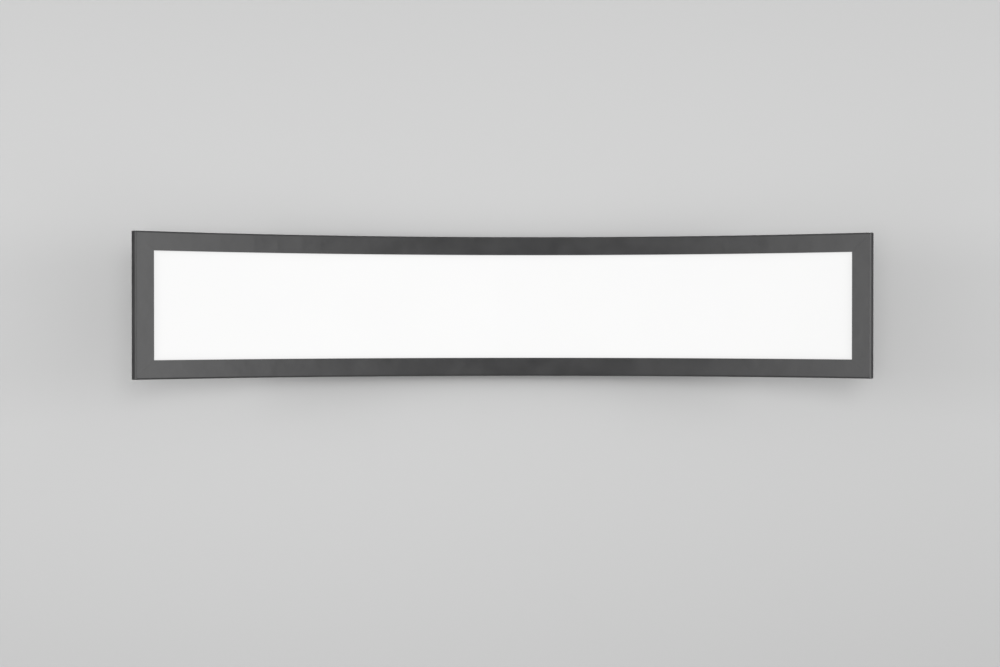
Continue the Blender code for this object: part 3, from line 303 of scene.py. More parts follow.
def flat_solid(name, outlines, low, high, edge=0.0, edge_steps=1):
    """A sheet or block drawn by its outlines, the inner ones holes, with rounded edges."""
    curve = bpy.data.curves.new(name, "CURVE")
    curve.dimensions = "2D"
    curve.fill_mode = "BOTH"
    curve.extrude = (high - low) / 2 - edge
    curve.bevel_depth = edge
    curve.bevel_resolution = edge_steps
    curve.offset = -edge
    for outline in outlines:
        spline = curve.splines.new("POLY")
        spline.points.add(len(outline) - 1)
        for point, (x, y) in zip(spline.points, outline):
            point.co = (x, y, 0, 1)
        spline.use_cyclic_u = True
    drawing = new_object(name + "_drawing", curve)
    mesh = evaluated(drawing)
    mesh.name = name
    mesh.materials.clear()
    bpy.data.objects.remove(drawing)
    mesh.transform(moved(z=(low + high) / 2))
    piece = new_object(name, mesh)
    return changed(piece, lambda bm: bmesh.ops.remove_doubles(bm, verts=bm.verts, dist=MERGED))


def split_along(bm, axis, places):
    """Cut a mesh's faces through at places along an axis."""
    normal = Vector((0, 0, 0))
    normal[axis] = 1
    for place in places:
        everything = bm.verts[:] + bm.edges[:] + bm.faces[:]
        bmesh.ops.bisect_plane(
            bm, geom=everything, dist=MERGED, plane_co=normal * place, plane_no=normal
        )


def geometry_tree(name, inputs):
    """A geometry tree that also takes a finish, and its inputs."""
    inputs = {"Geometry": "Geometry", **inputs, "Finish": "Material"}
    return new_tree(name, "GeometryNodeTree", inputs, {"Geometry": "Geometry"})


def ended(tree, start, geometry):
    """End a geometry tree: make its instances real and give them the finish."""
    real = add_node(tree, "GeometryNodeRealizeInstances", {0: geometry}).outputs[0]
    paint = {"Geometry": real, "Material": start["Finish"]}
    add_node(tree, "NodeGroupOutput", {0: add_node(tree, "GeometryNodeSetMaterial", paint).outputs[0]})


def vector_of(tree, **axes):
    """A vector from its axes."""
    return add_node(tree, "ShaderNodeCombineXYZ", axes).outputs[0]


def axes_of(tree, vector):
    """A vector's X, Y and Z."""
    return add_node(tree, "ShaderNodeSeparateXYZ", {0: vector}).outputs


def point_axes(tree):
    """A geometry point's X, Y and Z."""
    return axes_of(tree, add_node(tree, "GeometryNodeInputPosition").outputs[0])


# x' = (R + z) sin(x / R) and z' = axis + (R + z) cos(x / R)
arch_tree, arch_in = geometry_tree(
    "Bend to the arch", {"Front radius": FRONT_RADIUS, "Axis height": AXIS_Z}
)
calc = functools.partial(math_node, arch_tree)
flat_x, flat_y, flat_z = point_axes(arch_tree)
arch_angle = calc("DIVIDE", flat_x, arch_in["Front radius"])
arch_reach = calc("ADD", flat_z, arch_in["Front radius"])
arch_x = calc("MULTIPLY", arch_reach, calc("SINE", arch_angle))
arch_z = calc("MULTIPLY_ADD", arch_reach, calc("COSINE", arch_angle), arch_in["Axis height"])
arch_place = vector_of(arch_tree, X=arch_x, Y=flat_y, Z=arch_z)
arch_move = {"Geometry": arch_in["Geometry"], "Position": arch_place}
ended(arch_tree, arch_in, add_node(arch_tree, "GeometryNodeSetPosition", arch_move).outputs[0])


def formed(obj, tree, values):
    """Run a geometry tree on an object, with values for its named inputs."""
    items = [item for item in tree.interface.items_tree if item.name in values]
    inputs = [(item.identifier, values[item.name]) for item in items]
    return modified(obj, "NODES", inputs, node_group=tree)


def fitted(piece, slot, *nodes, body="luminaire"):
    """Attach a finished piece to the empty of the body it moves with and hide the nodes it stands for;
    the slot is not used.
    """
    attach(piece, body)
    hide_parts(*nodes)
    return piece


def arched(piece, material, slot, *nodes):
    """Split a flat piece every few millimetres of arc, bend it to the arch and fit it."""
    ends = [vert.co.x for vert in piece.data.vertices]
    count = math.ceil(2 * HALF_LENGTH / ARC_STEP)
    lines = [(2 * index / count - 1) * HALF_LENGTH for index in range(1, count)]
    lines = [line for line in lines if min(ends) + MERGED < line < max(ends) - MERGED]
    changed(piece, lambda bm: split_along(bm, 0, lines))
    return fitted(smoothed(formed(piece, arch_tree, {"Finish": material})), slot, *nodes)


RAIL_CHAMFER = 0.0017
RAIL_ROUND = 0.0005
RAIL_ROUND_SMALL = 0.0003
LIP_ROUND = 0.00035
rail_section = filleted(
    [
        (0, RAIL_CHAMFER, RAIL_ROUND),
        (RAIL_CHAMFER, 0, RAIL_ROUND),
        (BORDER, 0, LIP_ROUND),
        (BORDER, LIP, RAIL_ROUND_SMALL),
        (WEB_U, LIP, RAIL_ROUND_SMALL),
        (WEB_U, SHELF_TOP, RAIL_ROUND_SMALL),
        (RAIL_WALL, SHELF_TOP, RAIL_ROUND_SMALL),
        (RAIL_WALL, PANEL_THICKNESS, RAIL_ROUND_SMALL),
        (0, PANEL_THICKNESS, RAIL_ROUND),
    ]
)
rail_chamber = filleted(
    [
        (RAIL_WALL, LIP, RAIL_ROUND_SMALL),
        (CHAMBER_END, LIP, RAIL_ROUND_SMALL),
        (CHAMBER_END, SHELF_BOTTOM, RAIL_ROUND_SMALL),
        (RAIL_WALL, SHELF_BOTTOM, RAIL_ROUND_SMALL),
    ]
)

for rail_name, rail_node, rail_side, runs_along in (
    ("rail_front", "front_long_rail", -1, True),
    ("rail_rear", "rear_long_rail", 1, True),
    ("rail_left", "left_end_rail", -1, False),
    ("rail_right", "right_end_rail", 1, False),
):
    rail = flat_solid(rail_name, [rail_section, rail_chamber], -1, 1)
    for vert in rail.data.vertices:
        inset, height, end_side = vert.co.x, vert.co.y, math.copysign(1, vert.co.z)
        if runs_along:
            reach = HALF_LENGTH - inset - MITRE_SEAM
            vert.co = (end_side * reach, rail_side * (HALF_WIDTH - inset), height)
        else:
            reach = HALF_WIDTH - inset - MITRE_SEAM
            vert.co = (rail_side * (HALF_LENGTH - inset), end_side * reach, height)
    arched(rail, coat, "black_coated_aluminium", rail_node)


# Corner keys
# Four L-shaped keys of die-cast zinc sit in the rails' chambers and join the mitres.
# A screw of the back plate goes into each.

KEY_LEG = 0.030
KEY_PLAY = 0.0003
KEY_BEND = 0.0012
KEY_CROTCH = 0.0005
KEY_TIP = 0.0006
KEY_EDGE = 0.0002
KEY_SCREW_INSET = 0.020
PLATE_SCREW_HOLE = 0.0017
PLATE_SCREW_Y = HALF_WIDTH - (RAIL_WALL + CHAMBER_END) / 2
PLATE_SCREW_S = HALF_LENGTH - KEY_SCREW_INSET

plated_skin = make_skin("Plated skin", (0.2, 1, 1), 2.0, 0.3)
metal = functools.partial(finish, skin=plated_skin, values={"Metallic": 1.0})
die_cast_zinc = metal("die-cast zinc", (0.38, 0.38, 0.39), (0.50, 0.50, 0.51), (0.38, 0.55), 900, 0.5)


def circle(x, y, radius, sides=24):
    """A round outline."""
    turns = [math.radians(360) * side / sides for side in range(sides)]
    return [(x + radius * math.cos(turn), y + radius * math.sin(turn)) for turn in turns]


key_start = RAIL_WALL + KEY_PLAY
key_end = CHAMBER_END - KEY_PLAY
key_outline = filleted(
    [
        (key_start, key_start, KEY_BEND),
        (KEY_LEG, key_start, KEY_TIP),
        (KEY_LEG, key_end, KEY_TIP),
        (key_end, key_end, KEY_CROTCH),
        (key_end, KEY_LEG, KEY_TIP),
        (key_start, KEY_LEG, KEY_TIP),
    ],
    2,
)
for end_name, side_s in (("left", -1), ("right", 1)):
    for side_name, side_y in (("front", -1), ("rear", 1)):
        name = f"{end_name}_{side_name}"
        outline = [(side_s * (HALF_LENGTH - u), side_y * (HALF_WIDTH - v)) for u, v in key_outline]
        hole = circle(side_s * PLATE_SCREW_S, side_y * PLATE_SCREW_Y, PLATE_SCREW_HOLE, 16)
        key_low, key_high = LIP + KEY_PLAY, SHELF_BOTTOM - KEY_PLAY
        key = flat_solid(f"{name}_key", [outline, hole], key_low, key_high, KEY_EDGE)
        arched(key, die_cast_zinc, "die_cast_zinc", f"{name}_corner_key")


# Diffuser
# A 1.8 mm sheet of opal acrylic that lies on the frame's lips. Light from the guide
# behind makes it glow evenly, and a little less within a few millimetres of the frame.

SHEET_S = HALF_LENGTH - WEB_U - 0.0008
SHEET_Y = HALF_WIDTH - 0.0115
SHEET_CORNER = 0.0010
SHEET_EDGE = 0.0001
DIFFUSER_LOW = LIP + GAP
DIFFUSER_HIGH = DIFFUSER_LOW + 0.0018
SEEN_S = HALF_LENGTH - BORDER
SEEN_Y = HALF_WIDTH - BORDER
GLOW_STRENGTH = 0.65
EDGE_FADE = ((0.0, 0.83), (0.0012, 0.94), (0.0040, 0.980), (0.0100, 1.0))
FADE_END = EDGE_FADE[-1][0]
ACRYLIC_IOR = 1.49
OPAL_DARK = (0.145, 0.145, 0.144, 1)
OPAL_LIGHT = (0.155, 0.155, 0.154, 1)
OPAL_ROUGHNESS = (0.50, 0.58)
OPAL_CLOUDS = 14.0


def rounded_rectangle(half_x, half_y, radius, steps=4):
    """Its outline, run the same way round for every size."""
    signs = ((-1, -1), (1, -1), (1, 1), (-1, 1))
    return filleted([(x * half_x, y * half_y, radius) for x, y in signs], steps)


def sheet(name, low, high, edge=SHEET_EDGE):
    """One of the flat layers behind the frame's lips, as it is before it is bent."""
    return flat_solid(name, [rounded_rectangle(SHEET_S, SHEET_Y, SHEET_CORNER)], low, high, edge, 0)


def grey_ramp(tree, stops, full_place, full_level, place):
    """A colour ramp of greys, with its places and levels as shares of their full values."""
    node = add_node(tree, "ShaderNodeValToRGB", {"Fac": place})
    ramp = node.color_ramp.elements
    for index, (stop, level) in enumerate(stops):
        element = ramp[index] if index in (0, 1) else ramp.new(stop / full_place)
        element.position = stop / full_place
        element.color = (level / full_level,) * 3 + (1,)
    return node.outputs["Color"]


opal, opal_shader = new_material(
    "opal acrylic", {"Emission Strength": GLOW_STRENGTH, "IOR": ACRYLIC_IOR}
)
opal_tree = opal.node_tree
calc = functools.partial(math_node, opal_tree)
sheet_place = add_node(opal_tree, "ShaderNodeUVMap", uv_map="Sheet").outputs["UV"]
sheet_x, sheet_y, _ = axes_of(opal_tree, sheet_place)
from_end = calc("SUBTRACT", SEEN_S, calc("ABSOLUTE", sheet_x))
from_side = calc("SUBTRACT", SEEN_Y, calc("ABSOLUTE", sheet_y))
fade_place = calc("DIVIDE", calc("MINIMUM", from_end, from_side), FADE_END)
cloud = noise(opal_tree, object_place(opal_tree), OPAL_CLOUDS, 2.0)
opal_looks = {
    "Base Color": mixed(opal_tree, cloud, OPAL_DARK, OPAL_LIGHT),
    "Emission Color": grey_ramp(opal_tree, EDGE_FADE, FADE_END, 1, fade_place),
    "Roughness": ranged(opal_tree, cloud, (0.0, 1.0), OPAL_ROUGHNESS),
}
feed(opal_shader, opal_looks)

diffuser = sheet("opal_sheet", DIFFUSER_LOW, DIFFUSER_HIGH)
sheet_map = diffuser.data.uv_layers.new(name="Sheet")
for loop, corner in zip(diffuser.data.loops, sheet_map.data):
    corner.uv = diffuser.data.vertices[loop.vertex_index].co.xy
arched(diffuser, opal, "opal_acrylic", "diffuser")


# Light guide, reflector and foam
# Behind the diffuser lie a clear acrylic guide with printed dots, a white reflector
# film and a soft foam pad that presses them together under the back plate.

GUIDE_LOW, GUIDE_HIGH = 0.0040, 0.0070
REFLECTOR_LOW, REFLECTOR_HIGH = 0.0073, 0.0078
FOAM_LOW, FOAM_HIGH = 0.0081, 0.0107
DOT_PITCH = 0.0016
DOT_RIM = (0.34, 0.30)
DOT_ROUGHNESS = (0.05, 0.60)
LEAD_RADIUS = 0.0008
LEAD_SIZE = 2 * LEAD_RADIUS
PLATE_LOW = SHELF_TOP + GAP
INNER_X = 0.113
INNER_Y = 0.050
SEAT_HEIGHT = 0.0136
CANOPY_SCREW_INSET = 0.010
CLINCH_NUT_RADIUS = 0.0038
BUSHING_S = 0.020
BUSHING_Y = INNER_Y - 0.018
JUMPER_OFFSET = LEAD_SIZE + 2 * GAP


def arc_at(x, height=SEAT_HEIGHT):
    """The place s along the front face that lies under x at a height over it."""
    return FRONT_RADIUS * math.asin(x / (FRONT_RADIUS + height))


CANOPY_SCREW_S = arc_at(INNER_X - CANOPY_SCREW_INSET)
CANOPY_SCREW_Y = INNER_Y - CANOPY_SCREW_INSET
canopy_screw_places = [
    (side_s * CANOPY_SCREW_S, side_y * CANOPY_SCREW_Y) for side_s in (-1, 1) for side_y in (-1, 1)
]


def combined(piece, tool, operation="DIFFERENCE"):
    """Cut a piece by a tool, or join the tool to it, and use the tool up."""
    modified(piece, "BOOLEAN", object=tool, operation=operation, solver="EXACT")
    bpy.data.objects.remove(tool)
    return piece


def span(half, middle=0.0):
    """The two ends of a length, half to each side of its middle."""
    return middle - half, middle + half


def block(name, x_span, y_span, z_span, edge=0.0, corner=0.0):
    """A block over three spans, with rounded edges and uprights."""
    (low_x, high_x), (low_y, high_y) = x_span, y_span
    outline = rounded_rectangle((high_x - low_x) / 2, (high_y - low_y) / 2, corner, 3)
    piece = flat_solid(name, [outline], *z_span, edge)
    piece.data.transform(moved((low_x + high_x) / 2, (low_y + high_y) / 2))
    return piece


def cut(piece, x_span, y_span, z_span, corner=0.0):
    """Take a block over three spans out of a piece."""
    return combined(piece, block("cut", x_span, y_span, z_span, 0.0, corner))


moulded_skin = make_skin("Moulded skin", (1, 1, 1), 1.0, 0.15)
moulded = functools.partial(finish, skin=moulded_skin)
clear = moulded(
    "clear acrylic",
    (0.86, 0.92, 0.93),
    (0.90, 0.95, 0.95),
    (0.03, 0.08),
    bump=0.02,
    values={"Transmission Weight": 1.0, "IOR": ACRYLIC_IOR},
)
guide_tree = clear.node_tree
dot_grid = {"Scale": 1 / DOT_PITCH, "Randomness": 0.0, "Vector": object_place(guide_tree)}
dots = add_node(guide_tree, "ShaderNodeTexVoronoi", dot_grid).outputs["Distance"]
frosted = {"Roughness": ranged(guide_tree, dots, DOT_RIM, DOT_ROUGHNESS)}
feed(guide_tree.nodes["Principled BSDF"], frosted)
arched(sheet("guide_sheet", GUIDE_LOW, GUIDE_HIGH), clear, "clear_acrylic", "light_guide")

white_film = moulded("white film", (0.88, 0.88, 0.88), (0.94, 0.94, 0.94), (0.30, 0.42), 700)
reflector = sheet("reflector_film", REFLECTOR_LOW, REFLECTOR_HIGH, 0.0)
arched(reflector, white_film, "white_film", "reflector_sheet")

foam_skin = make_skin("Foam cells", (1, 1, 1), 4.0, 0.7)
grey_foam = finish(
    "grey foam", (0.20, 0.20, 0.21), (0.40, 0.40, 0.41), (0.92, 1.0), 1100, 1.0, skin=foam_skin
)
nut_holes = [circle(s, y, CLINCH_NUT_RADIUS + GAP) for s, y in canopy_screw_places]
foam_outline = rounded_rectangle(SHEET_S, SHEET_Y, SHEET_CORNER)
foam = flat_solid("foam_layer", [foam_outline, *nut_holes], FOAM_LOW, FOAM_HIGH)
groove_side = LEAD_RADIUS + GAP
groove_x = (BUSHING_S - groove_side, BUSHING_S + JUMPER_OFFSET + groove_side)
cut(foam, groove_x, span(HALF_WIDTH), (PLATE_LOW - LEAD_SIZE - 2 * GAP, PLATE_LOW))
arched(foam, grey_foam, "grey_foam", "foam_pad")


# LED strips
# Two narrow white circuit boards stand against the rails' webs. Thirty LEDs on each
# look into the edge of the light guide.

BOARD_OUTER = HALF_WIDTH - WEB_U - GAP
BOARD_THICKNESS = 0.0010
BOARD_HALF_LENGTH = HALF_LENGTH - WEB_U - 0.003
BOARD_LOW = LIP + GAP
STRIP_ROUNDING = (0.0001, 0.0002)
LED_MIDDLE = (GUIDE_LOW + GUIDE_HIGH) / 2
LED_COUNT = 30
LED_PITCH = 2 * HALF_LENGTH / 32
LED_SIZE = Vector((0.0035, 0.0008, 0.0026))
LED_RIM = 0.0004
LED_SINK = 0.0001
LED_LENS = (0.86, 0.62, 0.08, 1)


def stamps(tree, start, points, values=()):
    """End a geometry tree with a copy of its stamp, an object, at each point."""
    stamp = add_node(tree, "GeometryNodeObjectInfo", {"Object": start["Stamp"]}).outputs["Geometry"]
    values = {"Points": points, "Instance": stamp, **dict(values)}
    ended(tree, start, add_node(tree, "GeometryNodeInstanceOnPoints", values).outputs[0])


row_sizes = {"Count": LED_COUNT, "Pitch": LED_PITCH, "Side": 0.0, "Height": LED_MIDDLE, "Turn": 0.0}
row_tree, row_in = geometry_tree("Row of LEDs", {"Stamp": "Object", **row_sizes})
calc = functools.partial(math_node, row_tree)
row_span = calc("MULTIPLY", calc("SUBTRACT", row_in["Count"], 1.0), row_in["Pitch"])
row_x = calc("MULTIPLY", row_span, -0.5)
row_line = {
    "Count": row_in["Count"],
    "Start Location": vector_of(row_tree, X=row_x, Y=row_in["Side"], Z=row_in["Height"]),
    "Offset": vector_of(row_tree, X=row_in["Pitch"]),
}
row_points = add_node(row_tree, "GeometryNodeMeshLine", row_line).outputs["Mesh"]
stamps(row_tree, row_in, row_points, {"Rotation": vector_of(row_tree, Z=row_in["Turn"])})

white_mask = moulded("white solder mask", (0.82, 0.82, 0.80), (0.88, 0.88, 0.86), (0.32, 0.44), 500)
led_package = moulded("LED package", (0.84, 0.84, 0.82), (0.90, 0.90, 0.88), (0.30, 0.40), 400)


def attribute(material, name):
    """A value that is stored on the mesh."""
    return add_node(material.node_tree, "ShaderNodeAttribute", attribute_name=name).outputs["Fac"]


def overlaid(material, colour, mask):
    """Lay a second colour over a material's own, where a mask is 1."""
    shader = material.node_tree.nodes["Principled BSDF"]
    own = shader.inputs["Base Color"].links[0].from_socket
    feed(shader, {"Base Color": mixed(material.node_tree, mask, own, colour)})


overlaid(led_package, LED_LENS, attribute(led_package, "window"))


def drawn(name, draw):
    """A new piece, drawn by one bmesh step."""
    return changed(new_object(name, bpy.data.meshes.new(name)), draw)


def draw_led(bm):
    """A white package with its lens, sunk a little, on the side at -Y."""
    bmesh.ops.create_cube(bm, size=1)
    bmesh.ops.scale(bm, vec=LED_SIZE, verts=bm.verts)
    bmesh.ops.translate(bm, vec=(0, -LED_SIZE.y / 2, 0), verts=bm.verts)
    window = bm.faces.layers.float.new("window")
    face = min(bm.faces, key=lambda face: face.calc_center_median().y)
    bmesh.ops.inset_region(bm, faces=[face], thickness=LED_RIM, depth=0)
    bmesh.ops.translate(bm, vec=(0, LED_SINK, 0), verts=face.verts)
    face[window] = 1


for strip_name, strip_side in (("front", -1), ("rear", 1)):
    node = f"{strip_name}_led_strip"
    inner = strip_side * (BOARD_OUTER - BOARD_THICKNESS)
    strip_y = sorted((inner, strip_side * BOARD_OUTER))
    strip_spans = (span(BOARD_HALF_LENGTH), strip_y, (BOARD_LOW, 2 * LED_MIDDLE - BOARD_LOW))
    strip = block(f"{strip_name}_led_board", *strip_spans, *STRIP_ROUNDING)
    arched(strip, white_mask, "white_solder_mask", node)
    led = drawn("led", draw_led)
    leds = new_object(f"{strip_name}_leds", bpy.data.meshes.new("leds"))
    turn = 0.0 if strip_side > 0 else math.pi
    formed(leds, row_tree, {"Stamp": led, "Side": inner, "Turn": turn, "Finish": led_package})
    bpy.data.objects.remove(led)
    arched(leds, led_package, "white_solder_mask", node)


# Back plate
# A 1 mm steel sheet, powder coated black, closes the panel from behind. Six pan-head
# screws hold it to the rails, and four nuts pressed into it take the canopy's screws.

PLATE_S = HALF_LENGTH - RAIL_WALL - GAP
PLATE_Y = HALF_WIDTH - RAIL_WALL - GAP
PLATE_CORNER = 0.0012
PLATE_EDGE = 0.00015
CANOPY_SCREW_HOLE = 0.0023
BUSHING_HOLE = 0.0060
NUT_TOP = PLATE_LOW - GAP / 4
NUT_LOW = FOAM_LOW + GAP
NUT_ROUND = 0.0002
PLATE_HEAD = (0.0028, 0.0016)
PLATE_SHANK = (0.0014, 0.0080)
PAN_TOP = 0.62
PAN_SHOULDER = 0.35
PAN_ROUNDS = (0.3, 0.12, 0.04)
RECESS_REACH = 0.62
RECESS_WIDTH = 0.20
RECESS_DEPTH = 0.55
RECESS_ROUND = 0.4
THREAD_PITCH = 0.0007
THREAD_DEPTH = 0.0003
THREAD_ROWS = 6
THREAD_RUNOUT = 4
THREAD_TIP = 0.3

plate_screw_places = [
    (s, side * PLATE_SCREW_Y) for side in (-1, 1) for s in (-PLATE_SCREW_S, 0, PLATE_SCREW_S)
]


def turned(name, profile, sides=32, closed=False):
    """A profile of (radius, height), drawn down its outer side, turned round Z."""

    def draw(bm):
        rings = []
        for radius, height in profile:
            ring = [(0, 0)] if radius < MERGED else circle(0, 0, radius, sides)
            rings.append([bm.verts.new((x, y, height)) for x, y in ring])
        pairs = list(zip(rings, rings[1:])) + [(rings[-1], rings[0])] * closed
        for upper, lower in pairs:
            for side in range(sides):
                steps = ((upper, side), (lower, side), (lower, side + 1), (upper, side + 1))
                corners = [ring[step % len(ring)] for ring, step in steps]
                bm.faces.new(list(dict.fromkeys(corners)))

    return drawn(name, draw)


def lofted(name, rings, lines=(), capped=True):
    """A skin over rings of points from the foot up, split along X, with a lid if capped."""

    def draw(bm):
        loops = [[bm.verts.new(point) for point in ring] for ring in rings]
        for lower, upper in zip(loops, loops[1:]):
            for index in range(len(lower)):
                after = (index + 1) % len(lower)
                bm.faces.new([lower[index], lower[after], upper[after], upper[index]])
        bm.faces.new(loops[0][::-1])
        if capped:
            bm.faces.new(loops[-1])
        split_along(bm, 0, lines)

    return drawn(name, draw)


def threaded(name, radius, low, high, depth=THREAD_DEPTH, sides=24):
    """A rod along Z with a screw thread, cut as a helical groove that runs out at its ends."""
    rows = math.ceil((high - low) / THREAD_PITCH * THREAD_ROWS)
    rings = []
    for row in range(rows + 1):
        height = low + (high - low) * row / rows
        fade = min(1, THREAD_RUNOUT * row / rows, THREAD_RUNOUT * (rows - row) / rows + THREAD_TIP)
        ring = []
        for side, (x, y) in enumerate(circle(0, 0, 1, sides)):
            wave = (height / THREAD_PITCH - side / sides) % 1
            reach = radius - depth * fade * abs(2 * wave - 1)
            ring.append((reach * x, reach * y, height))
        rings.append(ring)
    return lofted(name, rings)


def pan_screw(name, head, shank):
    """A screw with a pan head that stands on Z = 0, a cross recess and a cut thread."""
    radius, height = head
    shank_radius, shank_length = shank
    top_round, shoulder_round, foot_round = (radius * share for share in PAN_ROUNDS)
    profile = filleted(
        [
            (0, height, 0),
            (radius * PAN_TOP, height, top_round),
            (radius, height * PAN_SHOULDER, shoulder_round),
            (radius, 0, foot_round),
            (0, 0, 0),
        ],
        2,
    )
    screw = turned(name, profile)
    width, reach = radius * RECESS_WIDTH / 2, radius * RECESS_REACH
    recess_z = (height * (1 - RECESS_DEPTH), 2 * height)
    for halves in ((reach, width), (width, reach)):
        cut(screw, *map(span, halves), recess_z, width * RECESS_ROUND)
    thread = threaded("thread", shank_radius, -shank_length, height / 5)
    return combined(screw, thread, "UNION")


stamp_tree, stamp_in = geometry_tree("Stamp at places", {"Stamp": "Object"})
stamps(stamp_tree, stamp_in, stamp_in["Geometry"])


def stamped(name, stamp, places, height, material):
    """One object with a copy of the stamp at each place; the stamp is used up."""
    mesh = bpy.data.meshes.new(name)
    mesh.from_pydata([(s, y, height) for s, y in places], [], [])
    piece = formed(new_object(name, mesh), stamp_tree, {"Stamp": stamp, "Finish": material})
    bpy.data.objects.remove(stamp)
    return piece


plate_outlines = [
    rounded_rectangle(PLATE_S, PLATE_Y, PLATE_CORNER),
    *(circle(s, y, CANOPY_SCREW_HOLE) for s, y in canopy_screw_places),
    *(circle(s, y, PLATE_SCREW_HOLE) for s, y in plate_screw_places),
    circle(BUSHING_S, BUSHING_Y, BUSHING_HOLE, 32),
]
plate = flat_solid("rear_sheet", plate_outlines, PLATE_LOW, PANEL_THICKNESS, PLATE_EDGE, 0)
steel_greys = (0.0040, 0.0040, 0.0045), (0.0110, 0.0110, 0.0115)
steel_coat = coated("black coated steel", *steel_greys, (0.40, 0.47), drift=30, wave=10)
arched(plate, steel_coat, "black_coated_steel", "back_plate")


def flat_ring(name, radii, ends, rounds, steps, sides):
    """A flat ring; its section's corners are rounded from the bore's upper one on."""
    (inner, outer), (low, high) = radii, ends
    corners = zip((inner, outer, outer, inner), (high, high, low, low), rounds)
    return turned(name, filleted(list(corners), steps), sides, True)


zinc = metal(
    "zinc plated steel", (0.58, 0.59, 0.61), (0.67, 0.67, 0.67), (0.28, 0.38), 1400, 0.15, drift=60
)
nut_radii = (CANOPY_SCREW_HOLE, CLINCH_NUT_RADIUS)
nut = flat_ring("nut", nut_radii, (NUT_LOW, NUT_TOP), [NUT_ROUND] * 4, 1, 24)
nuts = stamped("pressed_nuts", nut, canopy_screw_places, 0, zinc)
arched(nuts, zinc, "zinc_steel", "back_plate")

screw = pan_screw("screw", PLATE_HEAD, PLATE_SHANK)
screws = stamped("plate_screws", screw, plate_screw_places, PANEL_THICKNESS + GAP, zinc)
screw_nodes = [f"{y}_{s}_plate_screw" for y in ("front", "rear") for s in ("left", "middle", "right")]
arched(screws, zinc, "zinc_steel", *screw_nodes)


# Canopy
# A tub of 1 mm steel, powder coated black like the frame, whose floor follows the
# panel's back and whose rim lies against the ceiling. It is screwed to the back plate.

CANOPY_WALL = 0.0010
CANOPY_X = INNER_X + CANOPY_WALL
CANOPY_Y = INNER_Y + CANOPY_WALL
CANOPY_CORNER = 0.008
CANOPY_FOLD = 0.0022
FOLD_STEPS = 5
FLOOR_LOW = PANEL_THICKNESS + GAP
FLOOR_TOP = FLOOR_LOW + CANOPY_WALL
RIM_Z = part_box("canopy")[1].z
THUMB_Z = -0.012
THUMB_SLOT = 0.0023
CANOPY_HEAD = (0.0040, 0.0024)
CANOPY_SHANK = (0.0020, 0.0046)
DRIVER_HALF_X = 0.063
DRIVER_HALF_Y = 0.018
EAR_REACH = 0.067
PAD_RADIUS = 0.0034
PAD_FLARE = 0.0016
PAD_ROUND = 0.0006
DRIVER_SCREW_HOLE = 0.0018
BLOCK_HALF_X = 0.011
BLOCK_HALF_Y = 0.017
END_BAY = 0.024
EAR_BAY = 0.004
SIDE_BAY = 0.004
STUD_OFFSET = 0.024
STUD_RADIUS = 0.002
STUD_LENGTH = 0.009
WELD_TOP = 0.0024
WELD_FOOT = 0.0032
WELD_LOW = -GAP - 0.0002
WELD_ROUND = 0.0003
# How far a cutter reaches past the sheet or wall that it cuts.
CUT = 0.001
DEEP_CUT = 0.002
SIDEWAYS = Matrix.Rotation(math.radians(90), 4, "Y")


def seat(s, y, height=SEAT_HEIGHT):
    """The placement of a straight piece that stands on the arch, with Z along its radius."""
    angle = s / FRONT_RADIUS
    radius = FRONT_RADIUS + height
    place = Vector((radius * math.sin(angle), y, AXIS_Z + radius * math.cos(angle)))
    return Matrix.Translation(place) @ Matrix.Rotation(angle, 4, "Y")


DRIVER_Y = -INNER_Y + SIDE_BAY + DRIVER_HALF_Y
BLOCK_S = arc_at(INNER_X - END_BAY - BLOCK_HALF_X)
driver_seat = seat(arc_at(-INNER_X + END_BAY + EAR_REACH + EAR_BAY), DRIVER_Y)
block_seat = seat(BLOCK_S, DRIVER_Y)
stud_seat = seat(BLOCK_S, DRIVER_Y + DRIVER_HALF_Y + STUD_OFFSET)
bushing_seat = seat(BUSHING_S, BUSHING_Y)


def tub(name, half_x, half_y, corner, fold, height, lines=()):
    """An open tub's outer skin: a floor, a rounded fold round it and upright walls."""
    rings = []
    for step in range(FOLD_STEPS + 1):
        turn = math.radians(90) * step / FOLD_STEPS
        inset, rise = fold * (1 - math.sin(turn)), fold * (1 - math.cos(turn))
        outline = rounded_rectangle(half_x - inset, half_y - inset, corner - inset, 6)
        rings.append([(x, y, rise) for x, y in outline])
    rings.append([(x, y, height) for x, y in outline])
    return lofted(name, rings, lines, False)


def walled(piece, thickness):
    """Give an open skin its thickness, inwards."""
    return modified(piece, "SOLIDIFY", thickness=thickness, offset=-1, use_even_offset=True)


def rod(radius, low, high, place=Matrix(), sides=24):
    """A plain round pin along its placement's Z."""
    piece = turned("rod", [(0, high), (radius, high), (radius, low), (0, low)], sides)
    piece.data.transform(place)
    return piece


def drilled(piece, radius, low, high, place=Matrix(), sides=24):
    """Drill a piece through along a placement's Z."""
    return combined(piece, rod(radius, low, high, place, sides))


def finished(piece, material, place, slot, *nodes, body="luminaire"):
    """Give a piece its material, move its mesh to its place, shade it and fit it."""
    piece.data.materials.clear()
    piece.data.materials.append(material)
    piece.data.transform(place)
    return fitted(smoothed(piece), slot, *nodes, body=body)


